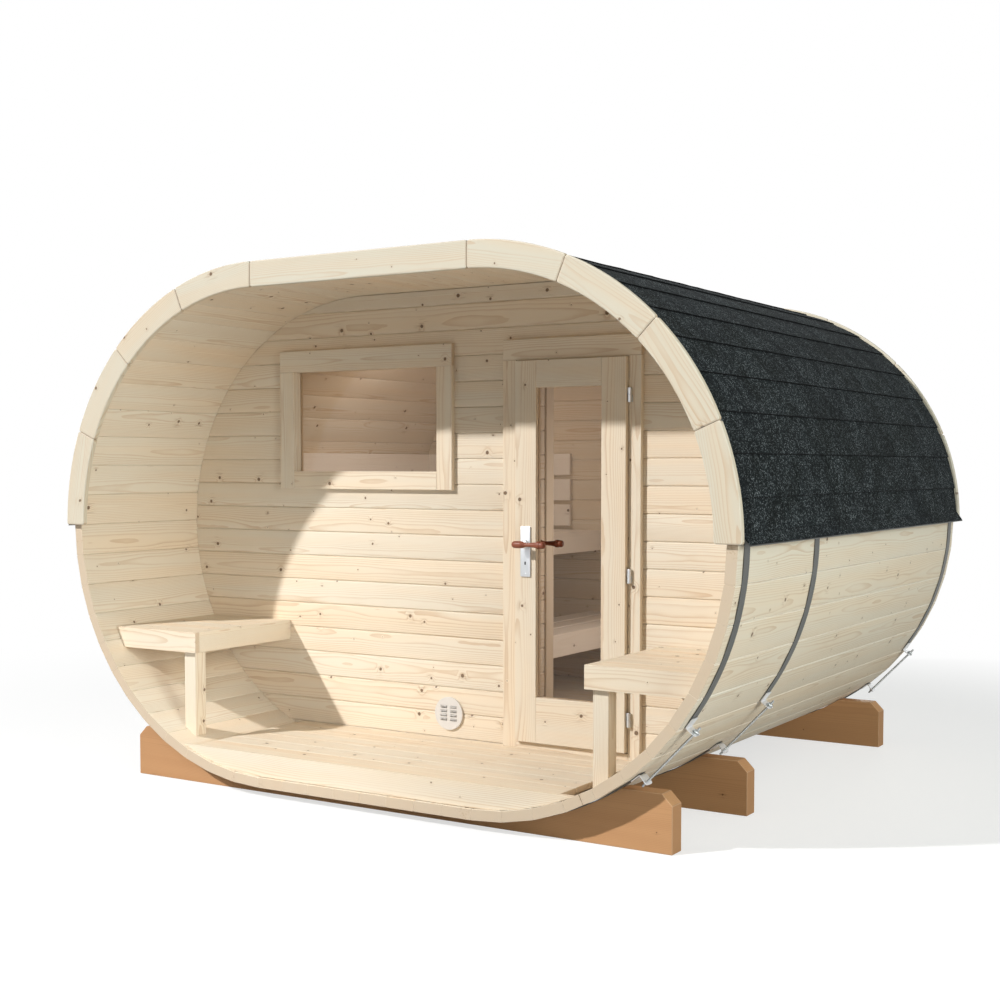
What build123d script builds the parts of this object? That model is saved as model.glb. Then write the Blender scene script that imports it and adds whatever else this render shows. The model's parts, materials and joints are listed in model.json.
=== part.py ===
"""Oval barrel sauna: stave shell, log end walls, porch with benches, shingle roof and a hinged door."""

import math
import os

from build123d import *

# Barrel shell, in millimetres: an oval with flat top and bottom and half-round sides
BARREL_HEIGHT = 1950.0
FLAT_WIDTH = 960.0
STAVE_LENGTH = 2450.0
STAVE_THICKNESS = 38.0
STAVE_EDGE_CHAMFER = 2.5
STAVES_PER_QUARTER_COUNT = 12
FLAT_STAVE_COUNT = 8
GROUND_CLEARANCE = 42.0

# Clearances shared by all pieces
JOINT_GAP = 0.4
FIT_GAP = 0.3
CUT_OVERRUN = 10.0

# Cradle beams under the barrel: two set back from the front stave ends, one from the rear ends
CRADLE_FRONT_SETBACK = 93.0
CRADLE_MIDDLE_SETBACK = 716.0
CRADLE_REAR_SETBACK = 145.0
CRADLE_THICKNESS = 70.0
CRADLE_HEIGHT = 198.0
CRADLE_SIDE_REACH = 717.0
CRADLE_CHAMFER = 38.0

# Steel hoops and their tension rods: one set back from each stave end, one in the porch's line
HOOP_END_SETBACK = 68.0
HOOP_MIDDLE_SETBACK = 692.0
HOOP_WIDTH = 45.0
HOOP_THICKNESS = 2.0
HOOP_GAP_ANGLES = (-50.5, -37.0)
TAB_REACH = 42.0
TAB_THICKNESS = 3.0
TAB_FOOT_LENGTH = 40.0
ROD_RADIUS = 4.5
ROD_STANDOFF_LENGTH = 30.0
ROD_OVERHANG = 28.0
NUT_RADIUS = 10.0
NUT_THICKNESS = 9.0
NUT_SIDES_COUNT = 6

# Roof of overlapping shingle courses, with a starter strip that kicks outward over a drip edge
COURSES_PER_QUARTER_COUNT = 11
FLAT_COURSE_COUNT = 3
SHINGLE_BUTT_THICKNESS = 9.0
SHINGLE_HEAD_THICKNESS = 3.5
RIDGE_WIDTH = 137.0
KICK_WIDTH = 32.0
KICK_HEIGHT = 35.0
DRIP_THICKNESS = 2.0
DRIP_REACH = 5.0
DRIP_LENGTH_SHARE = 0.6

# Fascia boards round the upper half of both ends
FASCIA_WIDTH = 95.0
FASCIA_THICKNESS = 23.0
FASCIA_OVERLAP_WIDTH = 22.0
FASCIA_BOARDS_PER_QUARTER_COUNT = 4
FASCIA_CORNER_RADIUS = 9.0

# Log walls
PORCH_DEPTH = 665.0
WALL_THICKNESS = 44.0
LOG_HEIGHT = 101.4
LOG_SILL_TOP_HEIGHT = 169.0
LOG_GROOVE_DEPTH = 4.0
HEAD_ROOM_HEIGHT = 250.0
WINDOW_LOG_COUNT = 5

# Floor
FLOOR_TOP_HEIGHT = 168.0
FLOOR_BOARD_THICKNESS = 22.0
FLOOR_BOARD_WIDTH = 96.0
FLOOR_BOARD_GAP = 3.0
FLOOR_SIDE_REACH = 335.0
RISER_SETBACK = 14.0
BEARER_WIDTH = 45.0
BEARER_OFFSETS_SHARES = (-0.44, 0.0, 0.44)

# Porch benches
BENCH_SETBACK = 85.0
BENCH_TOP_HEIGHT = 598.0
BENCH_INNER_REACH = 395.0
BENCH_APRON_HEIGHT = 82.0
BENCH_BOARD_THICKNESS = 22.0
BENCH_BOARD_COUNT = 6
BENCH_BOARD_GAP = 4.0
BENCH_LEG_WIDTH = 58.0

# Window, placed from the left end of the flat top
WINDOW_SIDE_REACH = 353.0
WINDOW_WIDTH = 732.0
WINDOW_JAMB_WIDTH = 50.0
WINDOW_SILL_JAMB_HEIGHT = 51.0
WINDOW_HEAD_JAMB_HEIGHT = 39.0
WINDOW_CASING_WIDTH = 73.0
CASING_THICKNESS = 22.0
CASING_HEAD_RISE_HEIGHT = 48.0
GLASS_THICKNESS = 6.0
GLASS_GRIP_DEPTH = 15.0
GLASS_SETBACK = 26.0

# Door, hung on its right side, placed from the right end of the flat top
DOOR_SIDE_REACH = 270.5
DOOR_WIDTH = 473.0
DOOR_SILL_HEIGHT = 29.0
DOOR_HEAD_JAMB_HEIGHT = 34.0
DOOR_THICKNESS = 40.0
DOOR_PROUD_DEPTH = 20.0
DOOR_CLEARANCE = 5.0
DOOR_LATCH_CLEARANCE = 8.0
LATCH_STILE_WIDTH = 92.5
HINGE_STILE_WIDTH = 100.5
DOOR_TOP_RAIL_HEIGHT = 102.5
DOOR_BOTTOM_RAIL_HEIGHT = 175.5
LATCH_CASING_WIDTH = 59.0
HINGE_CASING_WIDTH = 47.0
DOOR_STOP_WIDTH = 22.0
DOOR_OPENING_MARGIN_WIDTH = 11.0

# Door hardware, with the hinges at shares of the door's height
HINGE_HEIGHT_SHARES = (0.084, 0.449, 0.904)
HINGE_LENGTH = 52.0
HINGE_RADIUS = 8.0
HINGE_SIDE_REACH = 6.0
HINGE_LEAF_WIDTH = 26.0
HINGE_LEAF_THICKNESS = 2.0
PLATE_WIDTH = 44.0
PLATE_HEIGHT = 193.0
PLATE_THICKNESS = 6.0
PLATE_RISE_HEIGHT = 733.5
PLATE_INSET_WIDTH = 49.0
BOSS_RADIUS = 17.0
BOSS_LENGTH = 38.0
LEVER_RISE_HEIGHT = 28.5
LEVER_LENGTH = 141.0
LEVER_RADIUS = 15.0
LEVER_STANDOFF_LENGTH = 45.0
LEVER_BACK_REACH = 28.5
LEVER_PROFILE_SHARES = ((0.0, 0.66), (0.03, 0.86), (0.24, 0.92), (0.33, 0.84), (0.38, 0.58), (0.52, 0.55),
                        (0.76, 0.74), (0.78, 1.0), (0.85, 1.0), (0.87, 0.88), (0.97, 0.84), (1.0, 0.55))

# Wall vent, placed from the door's left edge
VENT_SIDE_GAP = 331.0
VENT_HEIGHT = 268.0
VENT_RADIUS = 66.0
VENT_THICKNESS = 9.0
VENT_SLOT_WIDTH = 31.0
VENT_SLOT_HEIGHT = 8.0
VENT_SLOT_DEPTH = 5.0
VENT_SLOT_PITCH = 17.0
VENT_COLUMN_GAP = 15.0
VENT_SLOT_ROW_COUNT = 4

# Inner benches along the left side, with backrests on the side and rear walls
UPPER_BENCH_TOP_HEIGHT = 930.0
UPPER_BENCH_REACH = 180.0
LOWER_BENCH_TOP_HEIGHT = 515.0
INNER_BENCH_BOARD_WIDTH = 112.0
INNER_BENCH_GAP = 14.0
INNER_BENCH_APRON_HEIGHT = 100.0
INNER_BEARER_HEIGHT = 60.0
BACKREST_RISE_HEIGHT = 388.0
BACKREST_BOARD_WIDTH = 108.0
BACKREST_GAP = 22.0
BACKREST_THICKNESS = 22.0
BACKREST_BOARD_COUNT = 3
BACKREST_REACH = 10.0

# Short log screen that stands on the room's floor behind the front wall, beside the door
SCREEN_SIDE_GAP = 167.5
SCREEN_BENCH_GAP = 46.0
SCREEN_LENGTH = 429.0
SCREEN_FIRST_LOG_HEIGHT = 20.0
SCREEN_BATTEN_WIDTH = 60.0
SCREEN_BATTEN_THICKNESS = 60.0

# Sizes worked out from the ones above
RADIUS = BARREL_HEIGHT / 2
INNER_RADIUS = RADIUS - STAVE_THICKNESS
HALF_FLAT = FLAT_WIDTH / 2
CENTRE_HEIGHT = GROUND_CLEARANCE + RADIUS
FRONT = -STAVE_LENGTH / 2
REAR = STAVE_LENGTH / 2
STAVE_ANGLE = 90.0 / STAVES_PER_QUARTER_COUNT
ROOM_RADIUS = INNER_RADIUS * math.cos(math.radians(STAVE_ANGLE / 2)) - FIT_GAP
WALL_FRONT = FRONT + PORCH_DEPTH
WALL_BACK = WALL_FRONT + WALL_THICKNESS
REAR_WALL_FRONT = REAR - WALL_THICKNESS
BED_HEIGHT = GROUND_CLEARANCE + STAVE_THICKNESS
CEILING_HEIGHT = CENTRE_HEIGHT + INNER_RADIUS
HEAD_LOG_COUNT = int((CEILING_HEIGHT - HEAD_ROOM_HEIGHT - LOG_SILL_TOP_HEIGHT) / LOG_HEIGHT)
SILL_LOG_COUNT = HEAD_LOG_COUNT - WINDOW_LOG_COUNT
OPENING_TOP = LOG_SILL_TOP_HEIGHT + HEAD_LOG_COUNT * LOG_HEIGHT
WINDOW_OPENING_BOTTOM = LOG_SILL_TOP_HEIGHT + SILL_LOG_COUNT * LOG_HEIGHT
WINDOW_LEFT = -HALF_FLAT - WINDOW_SIDE_REACH
WINDOW_RIGHT = WINDOW_LEFT + WINDOW_WIDTH
WINDOW_SILL = WINDOW_OPENING_BOTTOM + WINDOW_SILL_JAMB_HEIGHT
WINDOW_HEAD = OPENING_TOP - WINDOW_HEAD_JAMB_HEIGHT
CASING_HEAD_TOP = OPENING_TOP + CASING_HEAD_RISE_HEIGHT
WINDOW_OPENING = (WINDOW_LEFT - WINDOW_JAMB_WIDTH, WINDOW_RIGHT + WINDOW_JAMB_WIDTH)
DOOR_RIGHT = HALF_FLAT + DOOR_SIDE_REACH
DOOR_LEFT = DOOR_RIGHT - DOOR_WIDTH
DOOR_BOTTOM = FLOOR_TOP_HEIGHT + DOOR_SILL_HEIGHT
DOOR_TOP = OPENING_TOP - DOOR_HEAD_JAMB_HEIGHT
DOOR_OPENING = (DOOR_LEFT - DOOR_OPENING_MARGIN_WIDTH, DOOR_RIGHT + DOOR_OPENING_MARGIN_WIDTH)
CASING_FRONT = WALL_FRONT - CASING_THICKNESS
DOOR_FRONT = CASING_FRONT - DOOR_PROUD_DEPTH
DOOR_BACK = DOOR_FRONT + DOOR_THICKNESS
HINGE_X = DOOR_RIGHT + DOOR_CLEARANCE + HINGE_SIDE_REACH
HINGE_Y = CASING_FRONT - HINGE_RADIUS - FIT_GAP
BENCH_INNER_EDGE = HALF_FLAT + BENCH_INNER_REACH
UPPER_BENCH_EDGE = UPPER_BENCH_REACH - HALF_FLAT
SCREEN_RIGHT = DOOR_LEFT - SCREEN_SIDE_GAP
SCREEN_LEFT = SCREEN_RIGHT - WALL_THICKNESS
LOWER_BENCH_EDGE = SCREEN_LEFT - SCREEN_BENCH_GAP
BACKREST_END = BACKREST_REACH - HALF_FLAT
HOOP_PLACES = [FRONT + HOOP_END_SETBACK, FRONT + HOOP_MIDDLE_SETBACK, REAR - HOOP_END_SETBACK]
CRADLE_PLACES = {
    "cradle_front": FRONT + CRADLE_FRONT_SETBACK,
    "cradle_middle": FRONT + CRADLE_MIDDLE_SETBACK,
    "cradle_rear": REAR - CRADLE_REAR_SETBACK - CRADLE_THICKNESS,
}


def block(x, y, z):
    """A box between the given pairs of limits."""
    size = (x[1] - x[0], y[1] - y[0], z[1] - z[0])
    middle = ((x[0] + x[1]) / 2, (y[0] + y[1]) / 2, (z[0] + z[1]) / 2)
    return Pos(*middle) * Box(*size)


def along_barrel(sketch, start, end):
    """Extrude a sketch drawn across the barrel between two places along it."""
    return extrude(Plane.XZ.offset(-end) * sketch, end - start)


def oval(radius):
    """The oval across the barrel at a radius of its round sides."""
    return Pos(0, CENTRE_HEIGHT) * SlotCenterToCenter(FLAT_WIDTH, 2 * radius)


def room(start, end):
    """The space inside the staves between two places along the barrel."""
    return along_barrel(oval(ROOM_RADIUS), start, end)


def outline(points):
    """A face from corner points."""
    return make_face(Polyline(*points, close=True))


def mirrored(shape):
    """The same piece on the other side of the barrel."""
    return shape.mirror(Plane.YZ)


def stave_outline(outer_half, inner_half, outer, inner):
    """A stave's section with chamfered edges, drawn with the outer face to the right."""
    slope = (outer_half - inner_half) / (outer - inner)
    cut = STAVE_EDGE_CHAMFER
    upper = [
        (inner, inner_half - cut),
        (inner + cut, inner_half + slope * cut),
        (outer - cut, outer_half - slope * cut),
        (outer, outer_half - cut),
    ]
    lower = [(along, -across) for along, across in reversed(upper)]
    return outline(upper + lower)


def arc_stave():
    """One stave of the round sides, lying at angle zero round the barrel's long axis."""
    half = math.radians(STAVE_ANGLE / 2)
    section = stave_outline(
        RADIUS * math.sin(half) - JOINT_GAP / 2,
        INNER_RADIUS * math.sin(half) - JOINT_GAP / 2,
        RADIUS * math.cos(half),
        INNER_RADIUS * math.cos(half),
    )
    return along_barrel(section, FRONT, REAR)


def quarter_staves(first_angle):
    """The staves of one quarter of the right side, starting at an angle."""
    stave = arc_stave()
    angles = [first_angle + (i + 0.5) * STAVE_ANGLE for i in range(STAVES_PER_QUARTER_COUNT)]
    return [Pos(HALF_FLAT, 0, CENTRE_HEIGHT) * Rot(0, -angle, 0) * stave for angle in angles]


def flat_staves(turn):
    """The staves of the flat top or bottom, turned from the right side."""
    width = FLAT_WIDTH / FLAT_STAVE_COUNT
    half = width / 2 - JOINT_GAP / 2
    stave = along_barrel(stave_outline(half, half, RADIUS, INNER_RADIUS), FRONT, REAR)
    places = [(i + 0.5) * width - HALF_FLAT for i in range(FLAT_STAVE_COUNT)]
    return [Pos(place, 0, CENTRE_HEIGHT) * Rot(0, turn, 0) * stave for place in places]


def log_rows(front, x_limits, first, count):
    """Logs of a wall between two places across the barrel, cut to the room's oval."""
    back = front + WALL_THICKNESS
    space = room(front - CUT_OVERRUN, back + CUT_OVERRUN)
    logs = []
    for row in range(first, first + count):
        bottom = LOG_SILL_TOP_HEIGHT + row * LOG_HEIGHT + JOINT_GAP / 2
        top = bottom + LOG_HEIGHT - JOINT_GAP
        log = block(x_limits, (front, back), (bottom, top))
        log = chamfer(log.edges().filter_by(Axis.X), LOG_GROOVE_DEPTH)
        logs.append(log & space)
    return logs


def front_wall():
    """The front wall's logs, split beside, under and over the window and the doorway."""
    side = HALF_FLAT + RADIUS
    last = math.ceil((CEILING_HEIGHT - LOG_SILL_TOP_HEIGHT) / LOG_HEIGHT)
    high = WINDOW_LOG_COUNT
    left = log_rows(WALL_FRONT, (-side, DOOR_OPENING[0]), 0, SILL_LOG_COUNT)
    left += log_rows(WALL_FRONT, (-side, WINDOW_OPENING[0]), SILL_LOG_COUNT, high)
    pier = (WINDOW_OPENING[1], DOOR_OPENING[0])
    return {
        "front_wall_left_logs": left,
        "front_wall_pier_logs": log_rows(WALL_FRONT, pier, SILL_LOG_COUNT, high),
        "front_wall_right_logs": log_rows(WALL_FRONT, (DOOR_OPENING[1], side), 0, HEAD_LOG_COUNT),
        "front_wall_top_logs": log_rows(WALL_FRONT, (-side, side), HEAD_LOG_COUNT, last - HEAD_LOG_COUNT),
        "front_wall_sill_log": log_rows(WALL_FRONT, (-side, side), -1, 1),
    }


def rear_wall():
    """The plain rear wall."""
    side = HALF_FLAT + RADIUS
    last = math.ceil((CEILING_HEIGHT - LOG_SILL_TOP_HEIGHT) / LOG_HEIGHT)
    return log_rows(REAR_WALL_FRONT, (-side, side), -1, last + 1)


def fascia(front):
    """Fascia boards of one end: curved boards down both sides and a straight one on top."""
    outer = RADIUS + FASCIA_OVERLAP_WIDTH
    inner = outer - FASCIA_WIDTH
    step = 90.0 / FASCIA_BOARDS_PER_QUARTER_COUNT
    trim = math.degrees(JOINT_GAP / outer)
    boards = []
    for i in range(FASCIA_BOARDS_PER_QUARTER_COUNT):
        start = i * step + trim
        size = step - 2 * trim
        rim = CenterArc((0, 0), outer, start, size)
        throat = CenterArc((0, 0), inner, start, size)
        face = make_face([rim, throat, Line(rim @ 0, throat @ 0), Line(rim @ 1, throat @ 1)])
        face = fillet(face.vertices(), FASCIA_CORNER_RADIUS)
        board = along_barrel(Pos(HALF_FLAT, CENTRE_HEIGHT) * face, front, front + FASCIA_THICKNESS)
        boards += [board, mirrored(board)]
    top = RectangleRounded(FLAT_WIDTH - JOINT_GAP, FASCIA_WIDTH, FASCIA_CORNER_RADIUS)
    place = Pos(0, CENTRE_HEIGHT + (outer + inner) / 2)
    boards.append(along_barrel(place * top, front, front + FASCIA_THICKNESS))
    return boards


def polar(radius, angle):
    """A point of the right round side, from its radius and angle."""
    turn = math.radians(angle)
    return (HALF_FLAT + radius * math.cos(turn), CENTRE_HEIGHT + radius * math.sin(turn))


def roof():
    """Shingle courses, each thick at its butt and thin under the next one, and the drip edges."""
    step = 90.0 / COURSES_PER_QUARTER_COUNT
    base = (RADIUS + FIT_GAP + HOOP_THICKNESS + FIT_GAP) / math.cos(math.radians(step / 2))
    trim = math.degrees(JOINT_GAP / 2 / base)
    kick = math.degrees(KICK_HEIGHT / base)
    tip = base + KICK_WIDTH
    starter = [
        polar(tip, 0),
        polar(tip + SHINGLE_HEAD_THICKNESS, 0),
        polar(base + SHINGLE_BUTT_THICKNESS, kick - trim),
        polar(base, kick - trim),
    ]
    side = [along_barrel(outline(starter), FRONT, REAR)]
    for i in range(COURSES_PER_QUARTER_COUNT):
        low = max(i * step, kick) + trim
        high = (i + 1) * step - trim
        butt = [polar(base, low), polar(base + SHINGLE_BUTT_THICKNESS, low)]
        head = [polar(base + SHINGLE_HEAD_THICKNESS, high), polar(base, high)]
        side.append(along_barrel(outline(butt + head), FRONT, REAR))
    flat_step = (HALF_FLAT - RIDGE_WIDTH / 2) / FLAT_COURSE_COUNT
    deck = CENTRE_HEIGHT + base
    flat = []
    for i in range(FLAT_COURSE_COUNT):
        out = HALF_FLAT - i * flat_step - JOINT_GAP / 2
        back = HALF_FLAT - (i + 1) * flat_step + JOINT_GAP / 2
        butt = [(out, deck), (out, deck + SHINGLE_BUTT_THICKNESS)]
        points = butt + [(back, deck + SHINGLE_HEAD_THICKNESS), (back, deck)]
        course = along_barrel(outline(points), FRONT, REAR)
        flat += [course, mirrored(course)]
    half = RIDGE_WIDTH / 2 - JOINT_GAP / 2
    flat.append(block((-half, half), (FRONT, REAR), (deck, deck + SHINGLE_BUTT_THICKNESS)))
    edge = drip_edge(base, kick)
    return {
        "roof_shingles_right": side,
        "roof_shingles_left": [mirrored(course) for course in side],
        "roof_shingles_top": flat,
        "drip_edges": [edge, mirrored(edge)],
    }


def drip_edge(base, kick):
    """The metal strip under the starter strip, reaching a little past its tip."""
    tip_x, tip_z = polar(base + KICK_WIDTH, 0)
    top_x, top_z = polar(base, kick)
    length = math.hypot(top_x - tip_x, top_z - tip_z)
    run = ((top_x - tip_x) / length, (top_z - tip_z) / length)
    side = (-run[1], run[0])

    def place(along, depth):
        return (tip_x + run[0] * along + side[0] * depth, tip_z + run[1] * along + side[1] * depth)

    near = FIT_GAP
    far = FIT_GAP + DRIP_THICKNESS
    end = length * DRIP_LENGTH_SHARE
    points = [place(-DRIP_REACH, near), place(end, near), place(end, far), place(-DRIP_REACH, far)]
    return along_barrel(outline(points), FRONT, REAR)


def hoops():
    """Steel bands round the staves, open where their tension rods sit."""
    inner = RADIUS + FIT_GAP
    band = oval(inner + HOOP_THICKNESS) - oval(inner)
    reach = RADIUS + HALF_FLAT
    low, high = HOOP_GAP_ANGLES
    gap = outline([polar(0, 0), polar(reach, low), polar(reach, high)])
    band -= gap
    half = HOOP_WIDTH / 2
    return [along_barrel(band, place - half, place + half) for place in HOOP_PLACES]


def tension_tab(angle, out):
    """The bent tab on a band's end: a foot along the band and a flange that stands out from it."""
    turn = math.radians(angle)
    seat = RADIUS + FIT_GAP + HOOP_THICKNESS + FIT_GAP

    def place(rise, along):
        x, z = polar(seat + rise, angle)
        return (x - math.sin(turn) * along, z + math.cos(turn) * along)

    wall = TAB_THICKNESS
    flange = [place(0, 0), place(TAB_REACH, 0), place(TAB_REACH, out * wall), place(wall, out * wall)]
    foot = [place(wall, out * TAB_FOOT_LENGTH), place(0, out * TAB_FOOT_LENGTH)]
    return along_barrel(outline(flange + foot), -HOOP_WIDTH / 2, HOOP_WIDTH / 2)


def tensioners():
    """Bent tabs on the bands' ends, joined by straight threaded rods with a nut behind each tab."""
    radius = RADIUS + FIT_GAP + HOOP_THICKNESS + FIT_GAP + ROD_STANDOFF_LENGTH
    low, high = HOOP_GAP_ANGLES
    ends = [polar(radius, low), polar(radius, high)]
    span = math.dist(*ends)
    run = ((ends[1][0] - ends[0][0]) / span, (ends[1][1] - ends[0][1]) / span)
    tilt = math.degrees(math.atan2(run[0], run[1]))
    middle = ((ends[0][0] + ends[1][0]) / 2, (ends[0][1] + ends[1][1]) / 2)
    rod = Pos(middle[0], 0, middle[1]) * Rot(0, tilt, 0) * Cylinder(ROD_RADIUS, span + 2 * ROD_OVERHANG)
    pieces = []
    for (x, z), angle, out in zip(ends, HOOP_GAP_ANGLES, (-1, 1)):
        pieces.append(tension_tab(angle, out))
        away = out * (TAB_THICKNESS + NUT_THICKNESS / 2)
        nut = extrude(RegularPolygon(NUT_RADIUS, NUT_SIDES_COUNT), NUT_THICKNESS / 2, both=True)
        pieces.append(Pos(x + run[0] * away, 0, z + run[1] * away) * Rot(0, tilt, 0) * nut)
    unit = rod + pieces
    return [Pos(0, place, 0) * unit for place in HOOP_PLACES]


def cradle(start):
    """A beam with chamfered upper ends and a top hollowed to the barrel."""
    half = HALF_FLAT + CRADLE_SIDE_REACH
    points = [
        (-half, 0),
        (half, 0),
        (half, CRADLE_HEIGHT - CRADLE_CHAMFER),
        (half - CRADLE_CHAMFER, CRADLE_HEIGHT),
        (CRADLE_CHAMFER - half, CRADLE_HEIGHT),
        (-half, CRADLE_HEIGHT - CRADLE_CHAMFER),
    ]
    section = outline(points) - oval(RADIUS + FIT_GAP)
    return along_barrel(section, start, start + CRADLE_THICKNESS)


def deck(start, end):
    """Floor boards across the barrel, with their ends eased to the staves."""
    top = FLOOR_TOP_HEIGHT
    side = HALF_FLAT + FLOOR_SIDE_REACH
    run = end - start + FLOOR_BOARD_GAP
    count = round(run / (FLOOR_BOARD_WIDTH + FLOOR_BOARD_GAP))
    pitch = run / count
    space = room(start - CUT_OVERRUN, end + CUT_OVERRUN)
    boards = []
    for i in range(count):
        y = (start + i * pitch, start + (i + 1) * pitch - FLOOR_BOARD_GAP)
        board = block((-side, side), y, (top - FLOOR_BOARD_THICKNESS, top))
        boards.append(board & space)
    return boards


def floor():
    """Porch and room floors on bearers, with a riser board at the porch's edge."""
    riser_back = FRONT + RISER_SETBACK + FLOOR_BOARD_THICKNESS
    side = HALF_FLAT + RADIUS
    riser = block((-side, side), (FRONT + RISER_SETBACK, riser_back), (0, FLOOR_TOP_HEIGHT))
    runs = [(riser_back, WALL_FRONT - FIT_GAP), (WALL_BACK + FIT_GAP, REAR_WALL_FRONT - FIT_GAP)]
    height = (BED_HEIGHT, FLOOR_TOP_HEIGHT - FLOOR_BOARD_THICKNESS)
    bearers = []
    for share in BEARER_OFFSETS_SHARES:
        x = share * FLAT_WIDTH
        bearers += [block((x - BEARER_WIDTH / 2, x + BEARER_WIDTH / 2), run, height) for run in runs]
    return {
        "porch_riser": [riser & room(FRONT, WALL_FRONT)],
        "porch_floor": deck(runs[0][0] + FIT_GAP, runs[0][1]),
        "room_floor": deck(*runs[1]),
        "floor_bearers": bearers,
    }


def porch_benches():
    """A bench on each side of the porch: seat boards, two aprons and a leg."""
    front = FRONT + BENCH_SETBACK
    back = WALL_FRONT - FIT_GAP
    board = BENCH_BOARD_THICKNESS
    space = room(FRONT, WALL_FRONT)
    wall_x = HALF_FLAT + RADIUS
    top = BENCH_TOP_HEIGHT
    seat_start = BENCH_INNER_EDGE + board
    seat_front = front + board + FIT_GAP
    pitch = (back - seat_front + BENCH_BOARD_GAP) / BENCH_BOARD_COUNT
    seat = []
    for i in range(BENCH_BOARD_COUNT):
        y = (seat_front + i * pitch, seat_front + (i + 1) * pitch - BENCH_BOARD_GAP)
        seat.append(block((seat_start + FIT_GAP, wall_x), y, (top - board, top)) & space)
    height = (top - BENCH_APRON_HEIGHT, top)
    front_apron = block((BENCH_INNER_EDGE, wall_x), (front, front + board), height) & space
    side_apron = block((BENCH_INNER_EDGE, seat_start), (front + board + FIT_GAP, back), height)
    leg_y = (seat_front, seat_front + BENCH_LEG_WIDTH)
    leg_x = (seat_start + FIT_GAP, seat_start + FIT_GAP + BENCH_LEG_WIDTH)
    leg = block(leg_x, leg_y, (0, top - board)) & space
    aprons = [front_apron, side_apron]
    return {
        "right_porch_bench_seat": seat,
        "left_porch_bench_seat": [mirrored(plank) for plank in seat],
        "porch_bench_aprons": aprons + [mirrored(apron) for apron in aprons],
        "porch_bench_legs": [leg, mirrored(leg)],
    }


def ring(x, y, z, sides, bottom, top):
    """Four boards round an opening, the upper and lower ones running through."""
    left = (x[0] - sides, x[0])
    right = (x[1], x[1] + sides)
    through = (left[0], right[1])
    between = (z[0] + JOINT_GAP / 2, z[1] - JOINT_GAP / 2)
    return [
        block(through, y, (z[0] - bottom, z[0] - JOINT_GAP / 2)),
        block(through, y, (z[1] + JOINT_GAP / 2, z[1] + top)),
        block(left, y, between),
        block(right, y, between),
    ]


def window_casing(x, z):
    """Casing boards: a head board over two side boards, with a sill board between them."""
    y = (CASING_FRONT, WALL_FRONT)
    wide = WINDOW_CASING_WIDTH
    outer = (x[0] - wide, x[1] + wide)
    height = (z[0] - wide, z[1] - JOINT_GAP / 2)
    return [
        block(outer, y, (z[1] + JOINT_GAP / 2, CASING_HEAD_TOP)),
        block((outer[0], x[0]), y, height),
        block((x[1], outer[1]), y, height),
        block((x[0] + JOINT_GAP, x[1] - JOINT_GAP), y, (height[0], z[0])),
    ]


def window():
    """The fixed window: casing boards outside, a lining in two halves and the pane between them."""
    x = (WINDOW_LEFT, WINDOW_RIGHT)
    z = (WINDOW_SILL, WINDOW_HEAD)
    sill = WINDOW_SILL - WINDOW_OPENING_BOTTOM - JOINT_GAP
    head = OPENING_TOP - WINDOW_HEAD - JOINT_GAP
    jamb = WINDOW_JAMB_WIDTH - JOINT_GAP
    pane_front = WALL_FRONT + GLASS_SETBACK
    pane_back = pane_front + GLASS_THICKNESS
    pane = block(
        (x[0] - GLASS_GRIP_DEPTH, x[1] + GLASS_GRIP_DEPTH),
        (pane_front, pane_back),
        (z[0] - GLASS_GRIP_DEPTH, z[1] + GLASS_GRIP_DEPTH),
    )
    return {
        "window_casing": window_casing(x, z),
        "window_frame": ring(x, (WALL_FRONT, pane_front), z, jamb, sill, head),
        "window_beads": ring(x, (pane_back, WALL_BACK), z, jamb, sill, head),
        "window_glass": [pane],
    }


def door_frame():
    """Casing boards, stops and threshold round the doorway."""
    left = DOOR_LEFT - DOOR_LATCH_CLEARANCE
    right = DOOR_RIGHT + DOOR_CLEARANCE
    top = DOOR_TOP + DOOR_CLEARANCE
    y = (CASING_FRONT, WALL_FRONT)
    post = (FLOOR_TOP_HEIGHT, top - JOINT_GAP)
    casing = [
        block((left - LATCH_CASING_WIDTH, left), y, post),
        block((right, right + HINGE_CASING_WIDTH), y, post),
        block((left - LATCH_CASING_WIDTH, right + HINGE_CASING_WIDTH), y, (top, CASING_HEAD_TOP)),
    ]
    stop_y = (DOOR_BACK + DOOR_CLEARANCE, WALL_BACK)
    stop_z = (LOG_SILL_TOP_HEIGHT + JOINT_GAP, DOOR_TOP - DOOR_STOP_WIDTH - JOINT_GAP)
    opening = (DOOR_OPENING[0] + FIT_GAP, DOOR_OPENING[1] - FIT_GAP)
    stops = [
        block((opening[0], opening[0] + DOOR_STOP_WIDTH), stop_y, stop_z),
        block((opening[1] - DOOR_STOP_WIDTH, opening[1]), stop_y, stop_z),
        block(opening, stop_y, (DOOR_TOP - DOOR_STOP_WIDTH, OPENING_TOP - JOINT_GAP)),
    ]
    height = (FLOOR_TOP_HEIGHT, DOOR_BOTTOM - DOOR_CLEARANCE)
    threshold = block((left + JOINT_GAP, right - JOINT_GAP), y, height)
    return {"door_casing": casing, "door_stops": stops, "door_threshold": [threshold]}


def lever():
    """A turned handle bar, narrow at the neck and full at the end, lying along the door."""
    points = [(LEVER_LENGTH * along, LEVER_RADIUS * wide) for along, wide in LEVER_PROFILE_SHARES]
    points = [(0, 0)] + points + [(LEVER_LENGTH, 0)]
    return revolve(outline(points), Axis.X)


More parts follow.
